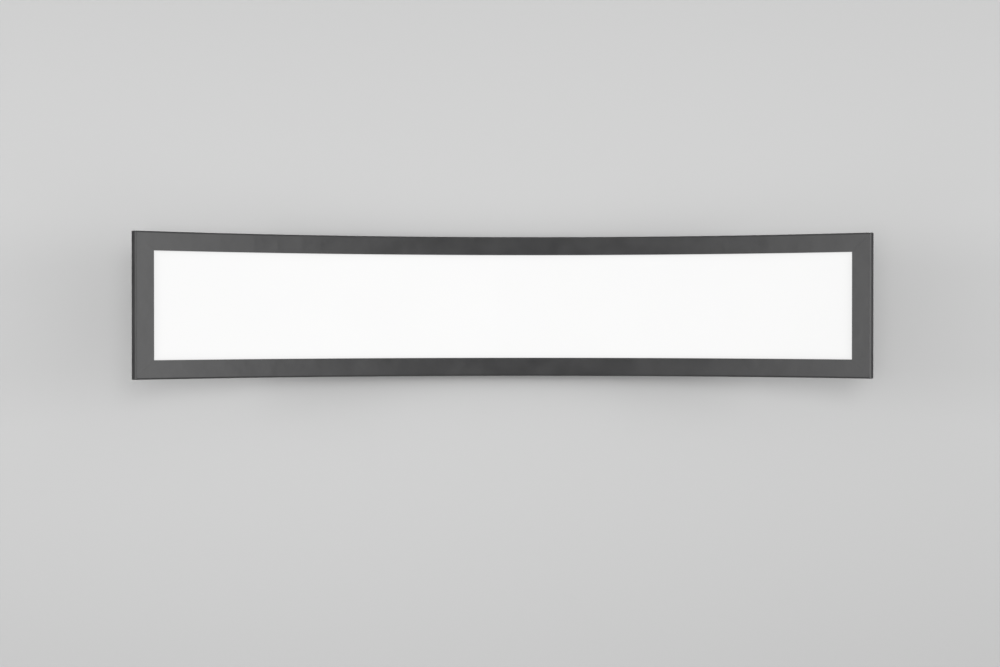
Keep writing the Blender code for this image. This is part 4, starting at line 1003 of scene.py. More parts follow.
line_count = int(CANOPY_X / ARC_STEP)
canopy_lines = [ARC_STEP * index for index in range(-line_count, line_count + 1)]
canopy = tub("canopy_shell", CANOPY_X, CANOPY_Y, CANOPY_CORNER, CANOPY_FOLD, 1, canopy_lines)
for vert in canopy.data.vertices:
    arc_z = AXIS_Z + math.sqrt((FRONT_RADIUS + FLOOR_LOW) ** 2 - vert.co.x**2)
    on_rim = vert.co.z > 2 * CANOPY_FOLD
    vert.co.z = RIM_Z if on_rim else arc_z + vert.co.z
walled(canopy, CANOPY_WALL)
slot_reach = CANOPY_X + DEEP_CUT
drilled(canopy, THUMB_SLOT, *span(slot_reach), moved(z=THUMB_Z) @ SIDEWAYS)
cut(canopy, span(slot_reach), span(THUMB_SLOT), (THUMB_Z, DEEP_CUT))
ear_fall = EAR_REACH**2 / (2 * (FRONT_RADIUS + FLOOR_TOP))
for side in (-1, 1):
    pad_seat = driver_seat @ moved(side * EAR_REACH)
    pad_low = -GAP - ear_fall - CANOPY_WALL / 2
    pad_profile = filleted(
        [
            (0, -GAP, 0),
            (PAD_RADIUS, -GAP, PAD_ROUND),
            (PAD_RADIUS + PAD_FLARE, pad_low, 0),
            (0, pad_low, 0),
        ],
        2,
    )
    pad = turned("pad", pad_profile)
    pad.data.transform(pad_seat)
    combined(canopy, pad, "UNION")
    drilled(canopy, DRIVER_SCREW_HOLE, pad_low - 5 * CUT, CUT, pad_seat)
for s, y in canopy_screw_places:
    drilled(canopy, CANOPY_SCREW_HOLE, -DEEP_CUT, CANOPY_WALL + DEEP_CUT, seat(s, y, FLOOR_LOW))
drilled(canopy, BUSHING_HOLE, -2 * DEEP_CUT, DEEP_CUT, bushing_seat, 32)
finished(canopy, steel_coat, Matrix(), "black_coated_steel", "canopy")

stud = threaded("earth_stud", STUD_RADIUS, -CANOPY_WALL - GAP, STUD_LENGTH - GAP)
weld_profile = filleted(
    [(0, 0, 0), (WELD_TOP, 0, WELD_ROUND), (WELD_FOOT, WELD_LOW, 0), (0, WELD_LOW, 0)], 2
)
combined(stud, turned("weld", weld_profile, 24), "UNION")
finished(stud, zinc, stud_seat, "zinc_steel", "canopy")

screw = pan_screw("screw", CANOPY_HEAD, CANOPY_SHANK)
screws = stamped("canopy_screws", screw, canopy_screw_places, SEAT_HEIGHT, zinc)
screw_nodes = [f"{s}_{y}_canopy_screw" for s in ("left", "right") for y in ("front", "rear")]
arched(screws, zinc, "zinc_steel", *screw_nodes)


# Cable bushing
# A moulded rubber bushing lines the hole through canopy and back plate, so that the
# two leads to the LED strips don't chafe.

BUSHING_FLANGE = 0.0080
BUSHING_TOP = 0.0015
BUSHING_NECK = 0.0057
BUSHING_BORE = 0.0030
BUSHING_LOW = PLATE_LOW - SEAT_HEIGHT
BUSHING_ROUNDS = (0.0005, 0.0006, 0.0002, 0.0002, 0.0004, 0.0003)

black_rubber = moulded(
    "black rubber", (0.022, 0.022, 0.023), (0.034, 0.034, 0.035), (0.62, 0.78), 900
)
bushing_radii = (BUSHING_BORE, BUSHING_FLANGE, BUSHING_FLANGE, BUSHING_NECK, BUSHING_NECK, BUSHING_BORE)
bushing_heights = (BUSHING_TOP, BUSHING_TOP, 0, 0, BUSHING_LOW, BUSHING_LOW)
bushing_profile = filleted(list(zip(bushing_radii, bushing_heights, BUSHING_ROUNDS)))
bushing = turned("rubber_bushing", bushing_profile, 40, True)
finished(bushing, black_rubber, bushing_seat, "black_rubber", "cable_bushing")


# LED driver
# A white painted steel tray with a snap-in lid stands on two pads of the canopy's
# floor, screwed down by its ears. Its board carries a transformer and a capacitor.

DRIVER_WALL = 0.0012
DRIVER_HEIGHT = 0.020
TRAY_TOP = DRIVER_HEIGHT - DRIVER_WALL - GAP
TRAY_CORNER = 0.0016
TRAY_FOLD = 0.0014
EAR_END = DRIVER_HALF_X + 0.008
EAR_HALF_WIDTH = 0.007
EAR_ROUNDING = (0.0002, 0.003)
BOARD_Z = DRIVER_WALL + 0.003 + GAP
DRIVER_BOARD = 0.0016
BOARD_TOP = BOARD_Z + DRIVER_BOARD
BOARD_X = DRIVER_HALF_X - DRIVER_WALL - 0.0006
BOARD_Y = DRIVER_HALF_Y - DRIVER_WALL - 0.0006
BOARD_ROUNDING = (0.0001, 0.0008)
POST_RADIUS = 0.0015
POST_INSET = 0.003
PARTS_LOW = BOARD_TOP + GAP
MAINS_RADIUS = 0.0012
LEAD_PITCH = 0.0030
POLE_PITCH = 0.010
WIRE_Z = BOARD_TOP + GAP + MAINS_RADIUS
LID_EDGE = 0.0003
LIP_X = DRIVER_HALF_X - 0.004
LIP_Y = DRIVER_HALF_Y - DRIVER_WALL - GAP
LIP_LOW = TRAY_TOP + GAP - 0.003
LIP_ROUNDING = (0.0002, 0.0004)
VENT_WIDTH = 0.0012
VENT_HALF = 0.0050
VENT_PITCH = 0.0034
VENT_COUNT = 5
VENT_X = 0.040
VENT_Y = 0.008
ROUND_END = 0.48
DRIVER_HEAD = (0.0028, 0.0018)
DRIVER_SHANK = 0.0015

white_greys = (0.76, 0.76, 0.75), (0.83, 0.83, 0.82)
white_paint = finish("white painted steel", *white_greys, (0.34, 0.46), bump=0.25, skin=powder_skin)
tray = walled(tub("tray", DRIVER_HALF_X, DRIVER_HALF_Y, TRAY_CORNER, TRAY_FOLD, TRAY_TOP), DRIVER_WALL)
ears = block("ears", span(EAR_END), span(EAR_HALF_WIDTH), (0, DRIVER_WALL), *EAR_ROUNDING)
combined(tray, ears, "UNION")
for side in (-1, 1):
    ear_way = moved(side * EAR_REACH)
    drilled(tray, DRIVER_SCREW_HOLE, -DEEP_CUT, CUT + DEEP_CUT, ear_way)
    for side_y in (-1, 1):
        post_way = moved(side * (BOARD_X - POST_INSET), side_y * (BOARD_Y - POST_INSET))
        post = rod(POST_RADIUS, DRIVER_WALL / 2, BOARD_Z - GAP, post_way, 12)
        combined(tray, post, "UNION")
for side, radius, offsets in (
    (1, MAINS_RADIUS, (-POLE_PITCH, 0)),
    (-1, LEAD_RADIUS, (-LEAD_PITCH / 2, LEAD_PITCH / 2)),
):
    for offset in offsets:
        way = moved(side * DRIVER_HALF_X, offset, WIRE_Z) @ SIDEWAYS
        drilled(tray, radius + GAP, *span(2 * DEEP_CUT), way, 16)
finished(tray, white_paint, driver_seat, "white_painted_steel", "driver_tray")

vent = rounded_rectangle(VENT_WIDTH / 2, VENT_HALF, VENT_WIDTH * ROUND_END, 3)
vents = [
    [(side * VENT_X + index * VENT_PITCH + x, row * VENT_Y + y) for x, y in vent]
    for side in (-1, 1)
    for row in (-1, 1)
    for index in range(-(VENT_COUNT // 2), VENT_COUNT // 2 + 1)
]
lid_outline = rounded_rectangle(DRIVER_HALF_X, DRIVER_HALF_Y, TRAY_CORNER)
lid = flat_solid("lid", [lid_outline, *vents], TRAY_TOP + GAP, DRIVER_HEIGHT, LID_EDGE)


def mirrored(near, far):
    """The span from near to far on each side of the middle."""
    return ((-far, -near), (near, far))


lip_z = (LIP_LOW, DRIVER_HEIGHT - DRIVER_WALL / 2)
for lip_y in mirrored(LIP_Y - DRIVER_WALL, LIP_Y):
    combined(lid, block("lip", span(LIP_X), lip_y, lip_z, *LIP_ROUNDING), "UNION")
finished(lid, white_paint, driver_seat, "white_painted_steel", "driver_cover")

green_mask = moulded("green solder mask", (0.02, 0.16, 0.06), (0.05, 0.27, 0.11), (0.30, 0.42), 260)
board_spans = (span(BOARD_X), span(BOARD_Y), (BOARD_Z, BOARD_TOP))
driver_board = block("circuit_board", *board_spans, *BOARD_ROUNDING)
finished(driver_board, green_mask, driver_seat, "green_board", "driver_board")

TRANSFORMER_PLACE = moved(-0.014, 0.004)
WINDING_HALF = (0.0095, 0.010)
CORE_HALF = (0.012, 0.0045)
CORE_TOP = PARTS_LOW + 0.0095
WINDING_INSET = 0.0008
WINDING_ROUNDING = (0.0008, 0.0025)
CORE_ROUNDING = (0.0003, 0.0004)
FERRITE = (0.035, 0.034, 0.036, 1)
tape = moulded("transformer tape", (0.66, 0.46, 0.06), (0.80, 0.60, 0.12), (0.26, 0.40), 300)
overlaid(tape, FERRITE, attribute(tape, "core"))
winding_z = (PARTS_LOW + WINDING_INSET, CORE_TOP - WINDING_INSET)
transformer = block("transformer", *map(span, WINDING_HALF), winding_z, *WINDING_ROUNDING)
core = block("core", *map(span, CORE_HALF), (PARTS_LOW, CORE_TOP), *CORE_ROUNDING)
mark = core.data.attributes.new("core", "FLOAT", "FACE")
mark.data.foreach_set("value", [1.0] * len(core.data.polygons))
combined(transformer, core, "UNION")
transformer_seat = driver_seat @ TRANSFORMER_PLACE
finished(transformer, tape, transformer_seat, "transformer_tape", "driver_transformer")

CAPACITOR_PLACE = moved(0.022, -0.006)
CAPACITOR_RADIUS = 0.005
CAPACITOR_TOP = PARTS_LOW + 0.0095
CAPACITOR_SINK = 0.0003
CAPACITOR_ROUND = 0.0004
ROLL_INNER = CAPACITOR_RADIUS - 0.0009
ROLL_TOP = CAPACITOR_RADIUS - 0.0007
ROLL_ROUND = 0.0001
BEAD_Z = PARTS_LOW + 0.0015
BEAD_HALF = 0.0005
BEAD_RADIUS = CAPACITOR_RADIUS - 0.0004
BEAD_ROUND = 0.0003
SCORE_HALF = (0.003, 0.00012)
SCORE_DEPTH = 0.0005
sleeve = moulded(
    "capacitor sleeve", (0.020, 0.020, 0.035), (0.040, 0.040, 0.062), (0.24, 0.36), 600
)
capacitor_profile = filleted(
    [
        (0, CAPACITOR_TOP - CAPACITOR_SINK, 0),
        (ROLL_INNER, CAPACITOR_TOP - CAPACITOR_SINK, ROLL_ROUND),
        (ROLL_TOP, CAPACITOR_TOP, ROLL_ROUND),
        (CAPACITOR_RADIUS, CAPACITOR_TOP, CAPACITOR_ROUND),
        (CAPACITOR_RADIUS, BEAD_Z + BEAD_HALF, BEAD_ROUND),
        (BEAD_RADIUS, BEAD_Z, BEAD_ROUND),
        (CAPACITOR_RADIUS, BEAD_Z - BEAD_HALF, BEAD_ROUND),
        (CAPACITOR_RADIUS, PARTS_LOW, CAPACITOR_ROUND),
        (0, PARTS_LOW, 0),
    ]
)
capacitor = turned("capacitor", capacitor_profile, 40)
for halves in (SCORE_HALF, SCORE_HALF[::-1]):
    cut(capacitor, *map(span, halves), (CAPACITOR_TOP - SCORE_DEPTH, CAPACITOR_TOP + CUT))
finished(capacitor, sleeve, driver_seat @ CAPACITOR_PLACE, "capacitor_sleeve", "driver_capacitor")

for name, side in (("left", -1), ("right", 1)):
    shank = (DRIVER_SHANK, DRIVER_WALL + 2 * GAP + ear_fall)
    ear_screw = pan_screw(f"{name}_ear_screw", DRIVER_HEAD, shank)
    ear_top = driver_seat @ moved(side * EAR_REACH, 0, DRIVER_WALL + GAP)
    finished(ear_screw, zinc, ear_top, "zinc_steel", f"{name}_driver_screw")


# Terminal block
# Three push-in poles in one white polyamide housing take the supply. A grey button
# over each pole opens its clamp, and a tinned contact lies in each.

BLOCK_HEIGHT = 0.016
BLOCK_ROUNDING = (0.0005, 0.0010)
ENTRY_RADIUS = 0.0018
ENTRY_Z = 0.0045
FUNNEL_RADIUS = 0.0028
FUNNEL_DEPTH = 0.0014
CONTACT_HALF = (0.0060, 0.0015)
CONTACT_THICKNESS = 0.0008
CONTACT_Z = ENTRY_Z - ENTRY_RADIUS - CONTACT_THICKNESS
CONTACT_ROUNDING = (0.0001, 0.0004)
BUTTON_HALF = (0.0025, 0.0025)
BUTTON_LENGTH = 0.0075
BUTTON_RISE = 0.0030
BUTTON_TRAVEL = 0.002
BUTTON_ROUNDING = (0.0003, 0.0005)
BUTTON_SLIT = (0.0016, 0.0004)
SLIT_DEPTH = 0.0009
WELL_HALF = BUTTON_HALF[0] + GAP
WELL_LOW = BLOCK_HEIGHT + BUTTON_RISE - BUTTON_LENGTH - BUTTON_TRAVEL - GAP
WELL_ROUND = 0.0003
GROOVE_HALF = 0.0002
GROOVE_DEPTH = 0.0007
GROOVE_LOW = 0.002

white_nylon = moulded("white polyamide", (0.78, 0.78, 0.76), (0.84, 0.84, 0.82), (0.36, 0.50), 450)
housing_spans = (span(BLOCK_HALF_X), span(BLOCK_HALF_Y), (0, BLOCK_HEIGHT))
housing = block("terminal_housing", *housing_spans, *BLOCK_ROUNDING)
entry_profile = [
    (0, BLOCK_HALF_X + DEEP_CUT),
    (FUNNEL_RADIUS, BLOCK_HALF_X + DEEP_CUT),
    (FUNNEL_RADIUS, BLOCK_HALF_X),
    (ENTRY_RADIUS, BLOCK_HALF_X - FUNNEL_DEPTH),
    (ENTRY_RADIUS, -BLOCK_HALF_X - DEEP_CUT),
    (0, -BLOCK_HALF_X - DEEP_CUT),
]
poles = (("live", -POLE_PITCH), ("neutral", 0), ("earth", POLE_PITCH))
well_z = (WELL_LOW, BLOCK_HEIGHT + DEEP_CUT)
bed_x, bed_y = (half + GAP for half in CONTACT_HALF)
for pole, y in poles:
    cut(housing, span(WELL_HALF), span(WELL_HALF, y), well_z, WELL_ROUND)
    entry = turned("entry", entry_profile, 20)
    entry.data.transform(moved(0, y, ENTRY_Z) @ SIDEWAYS)
    combined(housing, entry)
    cut(housing, span(bed_x), span(bed_y, y), (CONTACT_Z - GAP, ENTRY_Z))
groove_end, groove_top = BLOCK_HALF_X + CUT, BLOCK_HEIGHT + CUT
for edge in (-1.5, -0.5, 0.5, 1.5):
    groove_y = span(GROOVE_HALF, edge * POLE_PITCH)
    cut(housing, span(groove_end), groove_y, (BLOCK_HEIGHT - GROOVE_DEPTH, groove_top))
    for groove_x in mirrored(BLOCK_HALF_X - GROOVE_DEPTH, groove_end):
        cut(housing, groove_x, groove_y, (GROOVE_LOW, groove_top))
finished(housing, white_nylon, block_seat, "white_polyamide", "terminal_block")

tinned_brass = metal("tinned brass", (0.62, 0.58, 0.48), (0.74, 0.71, 0.62), (0.22, 0.36))
grey_nylon = moulded("grey polyamide", (0.30, 0.31, 0.32), (0.37, 0.38, 0.39), (0.38, 0.50), 450)
contact_z = (CONTACT_Z, CONTACT_Z + CONTACT_THICKNESS)
for pole, y in poles:
    contact = block(f"{pole}_contact_plate", *map(span, CONTACT_HALF), contact_z, *CONTACT_ROUNDING)
    finished(contact, tinned_brass, block_seat @ moved(0, y), "tinned_brass", f"{pole}_contact")
    button = block(f"{pole}_release", *map(span, BUTTON_HALF), (-BUTTON_LENGTH, 0), *BUTTON_ROUNDING)
    cut(button, *map(span, BUTTON_SLIT), (-SLIT_DEPTH, CUT))
    button_seat = block_seat @ moved(0, y, BLOCK_HEIGHT + BUTTON_RISE)
    node = f"{pole}_button"
    finished(button, grey_nylon, button_seat, "grey_polyamide", node, body=node)


# Inline connector
# A two-pole plug and socket of natural polyamide join the driver's leads to the
# panel's, on the canopy's floor. The plug's nose sits in the socket under a latch.

CONNECTOR_LENGTH = 0.014
CONNECTOR_HALF_Y = 0.005
CONNECTOR_HEIGHT = 0.007
CONNECTOR_WALL = 0.0012
CONNECTOR_DEEP = 0.011
CONNECTOR_S = -0.042
CONNECTOR_OFFSET = 0.022
CONNECTOR_ROUNDING = (0.0004, 0.0007)
NOSE_LENGTH = 0.006
NOSE_Y = CONNECTOR_HALF_Y - CONNECTOR_WALL - GAP
NOSE_LOW = CONNECTOR_WALL + GAP
NOSE_HIGH = CONNECTOR_HEIGHT - NOSE_LOW
NOSE_ROUNDING = (0.0003, 0.0004)
LATCH_Y = 0.0016
LATCH_STEP = 0.0006
LATCH_LOW = CONNECTOR_HEIGHT - 2 * LATCH_STEP
LATCH_TAIL = 0.002
LATCH_NOTCH = 0.0004
CATCH_NOTCH = 0.0006
CATCH_END = 0.0035
LATCH_ROUNDING = (0.0002, 0.0004)
GRIP_HALF = 0.0003
GRIP_DEPTH = 0.0003
GRIP_LOW = 0.0012
GRIP_HIGH = CONNECTOR_HEIGHT - 0.0018

connector_seat = seat(CONNECTOR_S, DRIVER_Y + DRIVER_HALF_Y + CONNECTOR_OFFSET)
natural_nylon = moulded(
    "natural polyamide", (0.68, 0.66, 0.58), (0.78, 0.76, 0.69), (0.34, 0.46), 450
)

shell = (span(CONNECTOR_HALF_Y), (0, CONNECTOR_HEIGHT - LATCH_STEP), *CONNECTOR_ROUNDING)
hook = (span(LATCH_Y), (LATCH_LOW, CONNECTOR_HEIGHT), *LATCH_ROUNDING)
plug = block("lead_plug", (-CONNECTOR_LENGTH, -GAP / 2), *shell)
nose = block("nose", (-CONNECTOR_WALL, NOSE_LENGTH), span(NOSE_Y), (NOSE_LOW, NOSE_HIGH), *NOSE_ROUNDING)
combined(plug, nose, "UNION")
latch = block("latch", (LATCH_TAIL - CONNECTOR_LENGTH, -GAP / 2 - LATCH_NOTCH), *hook)
combined(plug, latch, "UNION")
socket = block("lead_socket", (GAP / 2, CONNECTOR_LENGTH), *shell)
combined(socket, block("catch", (GAP / 2 + CATCH_NOTCH, CATCH_END), *hook), "UNION")
mouth_x, mouth_z = (-DEEP_CUT, NOSE_LENGTH + GAP), (NOSE_LOW - GAP, NOSE_HIGH + GAP)
cut(socket, mouth_x, span(NOSE_Y + GAP), mouth_z, NOSE_ROUNDING[1])
for half, node, way_x, side_x in (
    (plug, "connector_plug", -CONNECTOR_LENGTH - CUT, -1),
    (socket, "connector_socket", CONNECTOR_DEEP, 1),
):
    for offset in (-LEAD_PITCH / 2, LEAD_PITCH / 2):
        way = moved(way_x, offset, CONNECTOR_HEIGHT / 2) @ SIDEWAYS
        drilled(half, LEAD_RADIUS + GAP, 0, CONNECTOR_LENGTH - CONNECTOR_DEEP + CUT, way, 16)
    for rib in (0.3, 0.5, 0.7):
        rib_x = side_x * CONNECTOR_LENGTH * rib
        for grip_y in mirrored(CONNECTOR_HALF_Y - GRIP_DEPTH, CONNECTOR_HALF_Y + CUT):
            cut(half, span(GRIP_HALF, rib_x), grip_y, (GRIP_LOW, GRIP_HIGH))
    finished(half, natural_nylon, connector_seat, "natural_polyamide", node)


# Earth stud's fittings
# The earth wire ends in a crimped ring terminal of tinned copper, which a hexagon nut
# holds on the canopy's welded stud.

RING_RADIUS = 0.0045
RING_THICKNESS = 0.0008
RING_BORE = STUD_RADIUS + GAP
RING_EDGE = 0.0001
TONGUE_HALF = 0.0017
TONGUE_END = -RING_RADIUS * 0.6
BARREL_START = -RING_RADIUS - 0.009
BARREL_END = -0.0046
BARREL_HALF_Y = 0.0024
BARREL_HALF_Z = 0.0020
BARREL_ROUND = 0.0017
BARREL_EDGE = 0.0002
CRIMP_REACH = 0.003 + GAP
CRIMP_PLACES = (-0.0112, -0.0078)
CRIMP_RADIUS = 0.0012
CRIMP_RISE = 0.0008
CRIMP_HALF = 0.003
NUT_RADIUS = 0.0040
NUT_HEIGHT = 0.0032
NUT_CROWN = (0.86, 1.02)
CROWN_RISE = 0.0001

copper_colours = (0.56, 0.54, 0.52), (0.68, 0.66, 0.64)
tinned_copper = metal("tinned copper", *copper_colours, (0.26, 0.40), bump=0.12)
terminal_outlines = [circle(0, 0, RING_RADIUS, 40), circle(0, 0, RING_BORE, 32)]
terminal = flat_solid("ring", terminal_outlines, 0, RING_THICKNESS, RING_EDGE, 0)
tongue_x = (BARREL_END - CUT, TONGUE_END)
tongue = block("tongue", tongue_x, span(TONGUE_HALF), (0, RING_THICKNESS), RING_EDGE)
combined(terminal, tongue, "UNION")
barrel_outline = rounded_rectangle(BARREL_HALF_Z, BARREL_HALF_Y, BARREL_ROUND, 6)
barrel = flat_solid("barrel", [barrel_outline], BARREL_START, BARREL_END, BARREL_EDGE)
barrel.data.transform(moved(z=BARREL_HALF_Z) @ SIDEWAYS)
combined(terminal, barrel, "UNION")
bore_way = moved(BARREL_START, 0, BARREL_HALF_Z) @ SIDEWAYS
drilled(terminal, MAINS_RADIUS + GAP, -CUT, CRIMP_REACH, bore_way)
crosswise = Matrix.Rotation(math.radians(-90), 4, "X")
for crimp_x in CRIMP_PLACES:
    crimp_way = moved(crimp_x, 0, 2 * BARREL_HALF_Z + CRIMP_RISE) @ crosswise
    drilled(terminal, CRIMP_RADIUS, *span(CRIMP_HALF), crimp_way)
finished(terminal, tinned_copper, stud_seat, "tinned_copper", "ring_terminal")


def hexagon_nut(name, radius, bore, low, height):
    """A nut with six flats, turned-down corners and a bore."""
    inner, outer = (radius * share for share in NUT_CROWN)
    fall = height * (1 - NUT_CROWN[0])
    piece = flat_solid(name, [circle(0, 0, radius, 6), circle(0, 0, bore)], low, low + height)
    crown_profile = [
        (0, low + height + CROWN_RISE),
        (inner, low + height),
        (outer, low + height - fall),
        (outer, low + fall),
        (inner, low),
        (0, low - CROWN_RISE),
    ]
    return combined(piece, turned("crown", crown_profile, 48), "INTERSECT")


earth_nut = hexagon_nut("stud_nut", NUT_RADIUS, RING_BORE, RING_THICKNESS + GAP, NUT_HEIGHT)
finished(earth_nut, zinc, stud_seat, "zinc_steel", "earth_nut")


# Wires
# PVC-insulated wires join the terminal block, the driver, the connector and the LED
# strips. The earth wire is green with yellow stripes and goes to the stud.

WIRE_STEP = 0.0008
WIRE_SIDES = 12
CONTACT_REACH = -0.003
LEAD_LOOP = 0.013
PANEL_BEND = 0.0024
BUSHING_BEND = 0.0045
EARTH_BENDS = ((0.15, 0.7), (0.5, 1.0), (0.85, 0.7))
LEAD_BENDS = ((-0.7, 0.7, -0.3), (0, 1, 0), (0.7, 0.7, 0.3))
YELLOW = (0.72, 0.56, 0.03, 1)
STRIPE_EDGE = (0.66, 0.74)

wire_sizes = {"Radius": MAINS_RADIUS, "Step": WIRE_STEP, "Sides": WIRE_SIDES}
wire_tree, wire_in = geometry_tree("Insulated wire", wire_sizes)
wire_node = functools.partial(add_node, wire_tree)
wire_line = wire_node("GeometryNodeMeshToCurve", {"Mesh": wire_in["Geometry"]})
wire_curve = wire_node(
    "GeometryNodeCurveSplineType", {"Curve": wire_line.outputs[0]}, spline_type="CATMULL_ROM"
)
wire_steps = {"Curve": wire_curve.outputs[0], "Length": wire_in["Step"]}
wire_points = wire_node("GeometryNodeResampleCurve", wire_steps, mode="LENGTH")
wire_round = {"Resolution": wire_in["Sides"], "Radius": wire_in["Radius"]}
wire_circle = wire_node("GeometryNodeCurvePrimitiveCircle", wire_round).outputs["Curve"]
wire_note = wire_node("GeometryNodeCaptureAttribute")
wire_note.capture_items.new("FLOAT", "Across")
wire_across = math_node(wire_tree, "DIVIDE", point_axes(wire_tree)[0], wire_in["Radius"])
feed(wire_note, {"Geometry": wire_circle, "Across": wire_across})
wire_tube = wire_node(
    "GeometryNodeCurveToMesh",
    {
        "Curve": wire_points.outputs[0],
        "Profile Curve": wire_note.outputs["Geometry"],
        "Fill Caps": True,
    },
)
wire_mark = {"Geometry": wire_tube.outputs[0], "Name": "across", "Value": wire_note.outputs["Across"]}
ended(wire_tree, wire_in, wire_node("GeometryNodeStoreNamedAttribute", wire_mark).outputs[0])


def wire(node, route, radius, material, slot):
    """An insulated wire along a route of points, which replaces its node."""
    mesh = bpy.data.meshes.new(f"{node}_route")
    mesh.from_pydata(route, [(index, index + 1) for index in range(len(route) - 1)], [])
    piece = new_object(f"{node}_insulated", mesh)
    formed(piece, wire_tree, {"Radius": radius, "Finish": material})
    return finished(piece, material, Matrix(), slot, node)


def lead_in(place, x, inner_x, y, z, radius):
    """A wire's straight end in a hole: inside it, at its mouth x and just outside."""
    outer_x = x + math.copysign(2 * radius, x - inner_x)
    return [place @ Vector((along, y, z)) for along in (inner_x, x, outer_x)]


# Coloured PVC has a slight sheen.
insulation = functools.partial(moulded, roughness=(0.34, 0.46), grain=500, bump=0.12)
brown_pvc = insulation("brown PVC", (0.10, 0.040, 0.020), (0.15, 0.062, 0.032))
blue_pvc = insulation("blue PVC", (0.020, 0.085, 0.40), (0.035, 0.13, 0.52))
green_pvc = insulation("green and yellow PVC", (0.030, 0.26, 0.060), (0.050, 0.36, 0.090))
red_pvc = insulation("red PVC", (0.42, 0.020, 0.016), (0.56, 0.035, 0.026))
black_pvc = insulation("black PVC", (0.014, 0.014, 0.014), (0.024, 0.024, 0.024))
white_pvc = insulation("white PVC", (0.74, 0.74, 0.72), (0.82, 0.82, 0.80))
stripe_tree = green_pvc.node_tree
stripe_side = math_node(stripe_tree, "ABSOLUTE", attribute(green_pvc, "across"))
overlaid(green_pvc, YELLOW, ranged(stripe_tree, stripe_side, STRIPE_EDGE))

mains_inside = DRIVER_HALF_X - DRIVER_WALL - 2 * MAINS_RADIUS
for node, material, slot, offset in (
    ("live_wire", brown_pvc, "brown_pvc", -POLE_PITCH),
    ("neutral_wire", blue_pvc, "blue_pvc", 0),
):
    start = lead_in(block_seat, -BLOCK_HALF_X, CONTACT_REACH, offset, ENTRY_Z, MAINS_RADIUS)
    end = lead_in(driver_seat, DRIVER_HALF_X, mains_inside, offset, WIRE_Z, MAINS_RADIUS)
    wire(node, [*start, *reversed(end)], MAINS_RADIUS, material, slot)
start = lead_in(block_seat, -BLOCK_HALF_X, CONTACT_REACH, POLE_PITCH, ENTRY_Z, MAINS_RADIUS)
crimped = BARREL_START + CRIMP_REACH - GAP
end = lead_in(stud_seat, BARREL_START, crimped, 0, BARREL_HALF_Z, MAINS_RADIUS)
turn = Vector((-(end[-1] - start[-1]).length / 2, 0, 0))
bends = [start[-1].lerp(end[-1], share) + turn * reach for share, reach in EARTH_BENDS]
wire("earth_wire", [*start, *bends, *reversed(end)], MAINS_RADIUS, green_pvc, "green_pvc")

leads_inside = -DRIVER_HALF_X + DRIVER_WALL + LEAD_SIZE
seated = CONNECTOR_DEEP + GAP
lead_z = CONNECTOR_HEIGHT / 2
for node, material, slot, offset in (
    ("driver_minus_wire", black_pvc, "black_pvc", -LEAD_PITCH / 2),
    ("driver_plus_wire", red_pvc, "red_pvc", LEAD_PITCH / 2),
):
    start = lead_in(driver_seat, -DRIVER_HALF_X, leads_inside, offset, WIRE_Z, LEAD_RADIUS)
    end = lead_in(connector_seat, -CONNECTOR_LENGTH, -seated, -offset, lead_z, LEAD_RADIUS)
    low, high = start[-1], end[-1]
    far = -INNER_X + LEAD_LOOP + offset
    middle = (low + high) / 2
    across, up = (high.y - low.y) / 2, high.z - low.z
    bends = [
        Vector((far + across * (1 - reach), middle.y + across * side, middle.z + rise * up))
        for side, reach, rise in LEAD_BENDS
    ]
    wire(node, [*start, *bends, *reversed(end)], LEAD_RADIUS, material, slot)

lying_z = PLATE_LOW - GAP - LEAD_RADIUS
board_y = BOARD_OUTER - BOARD_THICKNESS - GAP
bend_low = BUSHING_TOP + LEAD_SIZE
for node, material, slot, side in (
    ("panel_minus_wire", black_pvc, "black_pvc", -1),
    ("panel_plus_wire", red_pvc, "red_pvc", 1),
):
    y = side * (LEAD_RADIUS + GAP)
    lead_y = side * LEAD_PITCH / 2
    start = lead_in(connector_seat, CONNECTOR_LENGTH, seated, lead_y, lead_z, LEAD_RADIUS)
    bends = [
        bushing_seat
        @ Vector((BUSHING_BEND * (math.cos(t) - 1), y, bend_low + BUSHING_BEND * math.sin(t)))
        for t in (math.radians(90), math.radians(45), 0)
    ]
    panel_y = BUSHING_Y + y
    drop = [
        (panel_y, PANEL_THICKNESS),
        (panel_y, lying_z + PANEL_BEND / 2),
        (panel_y + side * PANEL_BEND / 2, lying_z),
        (panel_y + side * PANEL_BEND * 2, lying_z),
        (side * board_y, lying_z),
    ]
    below = [seat(BUSHING_S, place_y, height).translation for place_y, height in drop]
    route = [*start, (start[-1] + bends[0]) / 2, *bends, *below]
    wire(node, route, LEAD_RADIUS, material, slot)
jumper = [seat(BUSHING_S + JUMPER_OFFSET, y, lying_z).translation for y in (-board_y, 0, board_y)]
wire("strip_jumper_wire", jumper, LEAD_RADIUS, white_pvc, "white_pvc")


# Mounting bracket
# A zinc-plated steel strip that the ceiling screws hold by its slots. Folded sides make
# it stiff, and a nut pressed into each turned-down end takes a thumb screw.

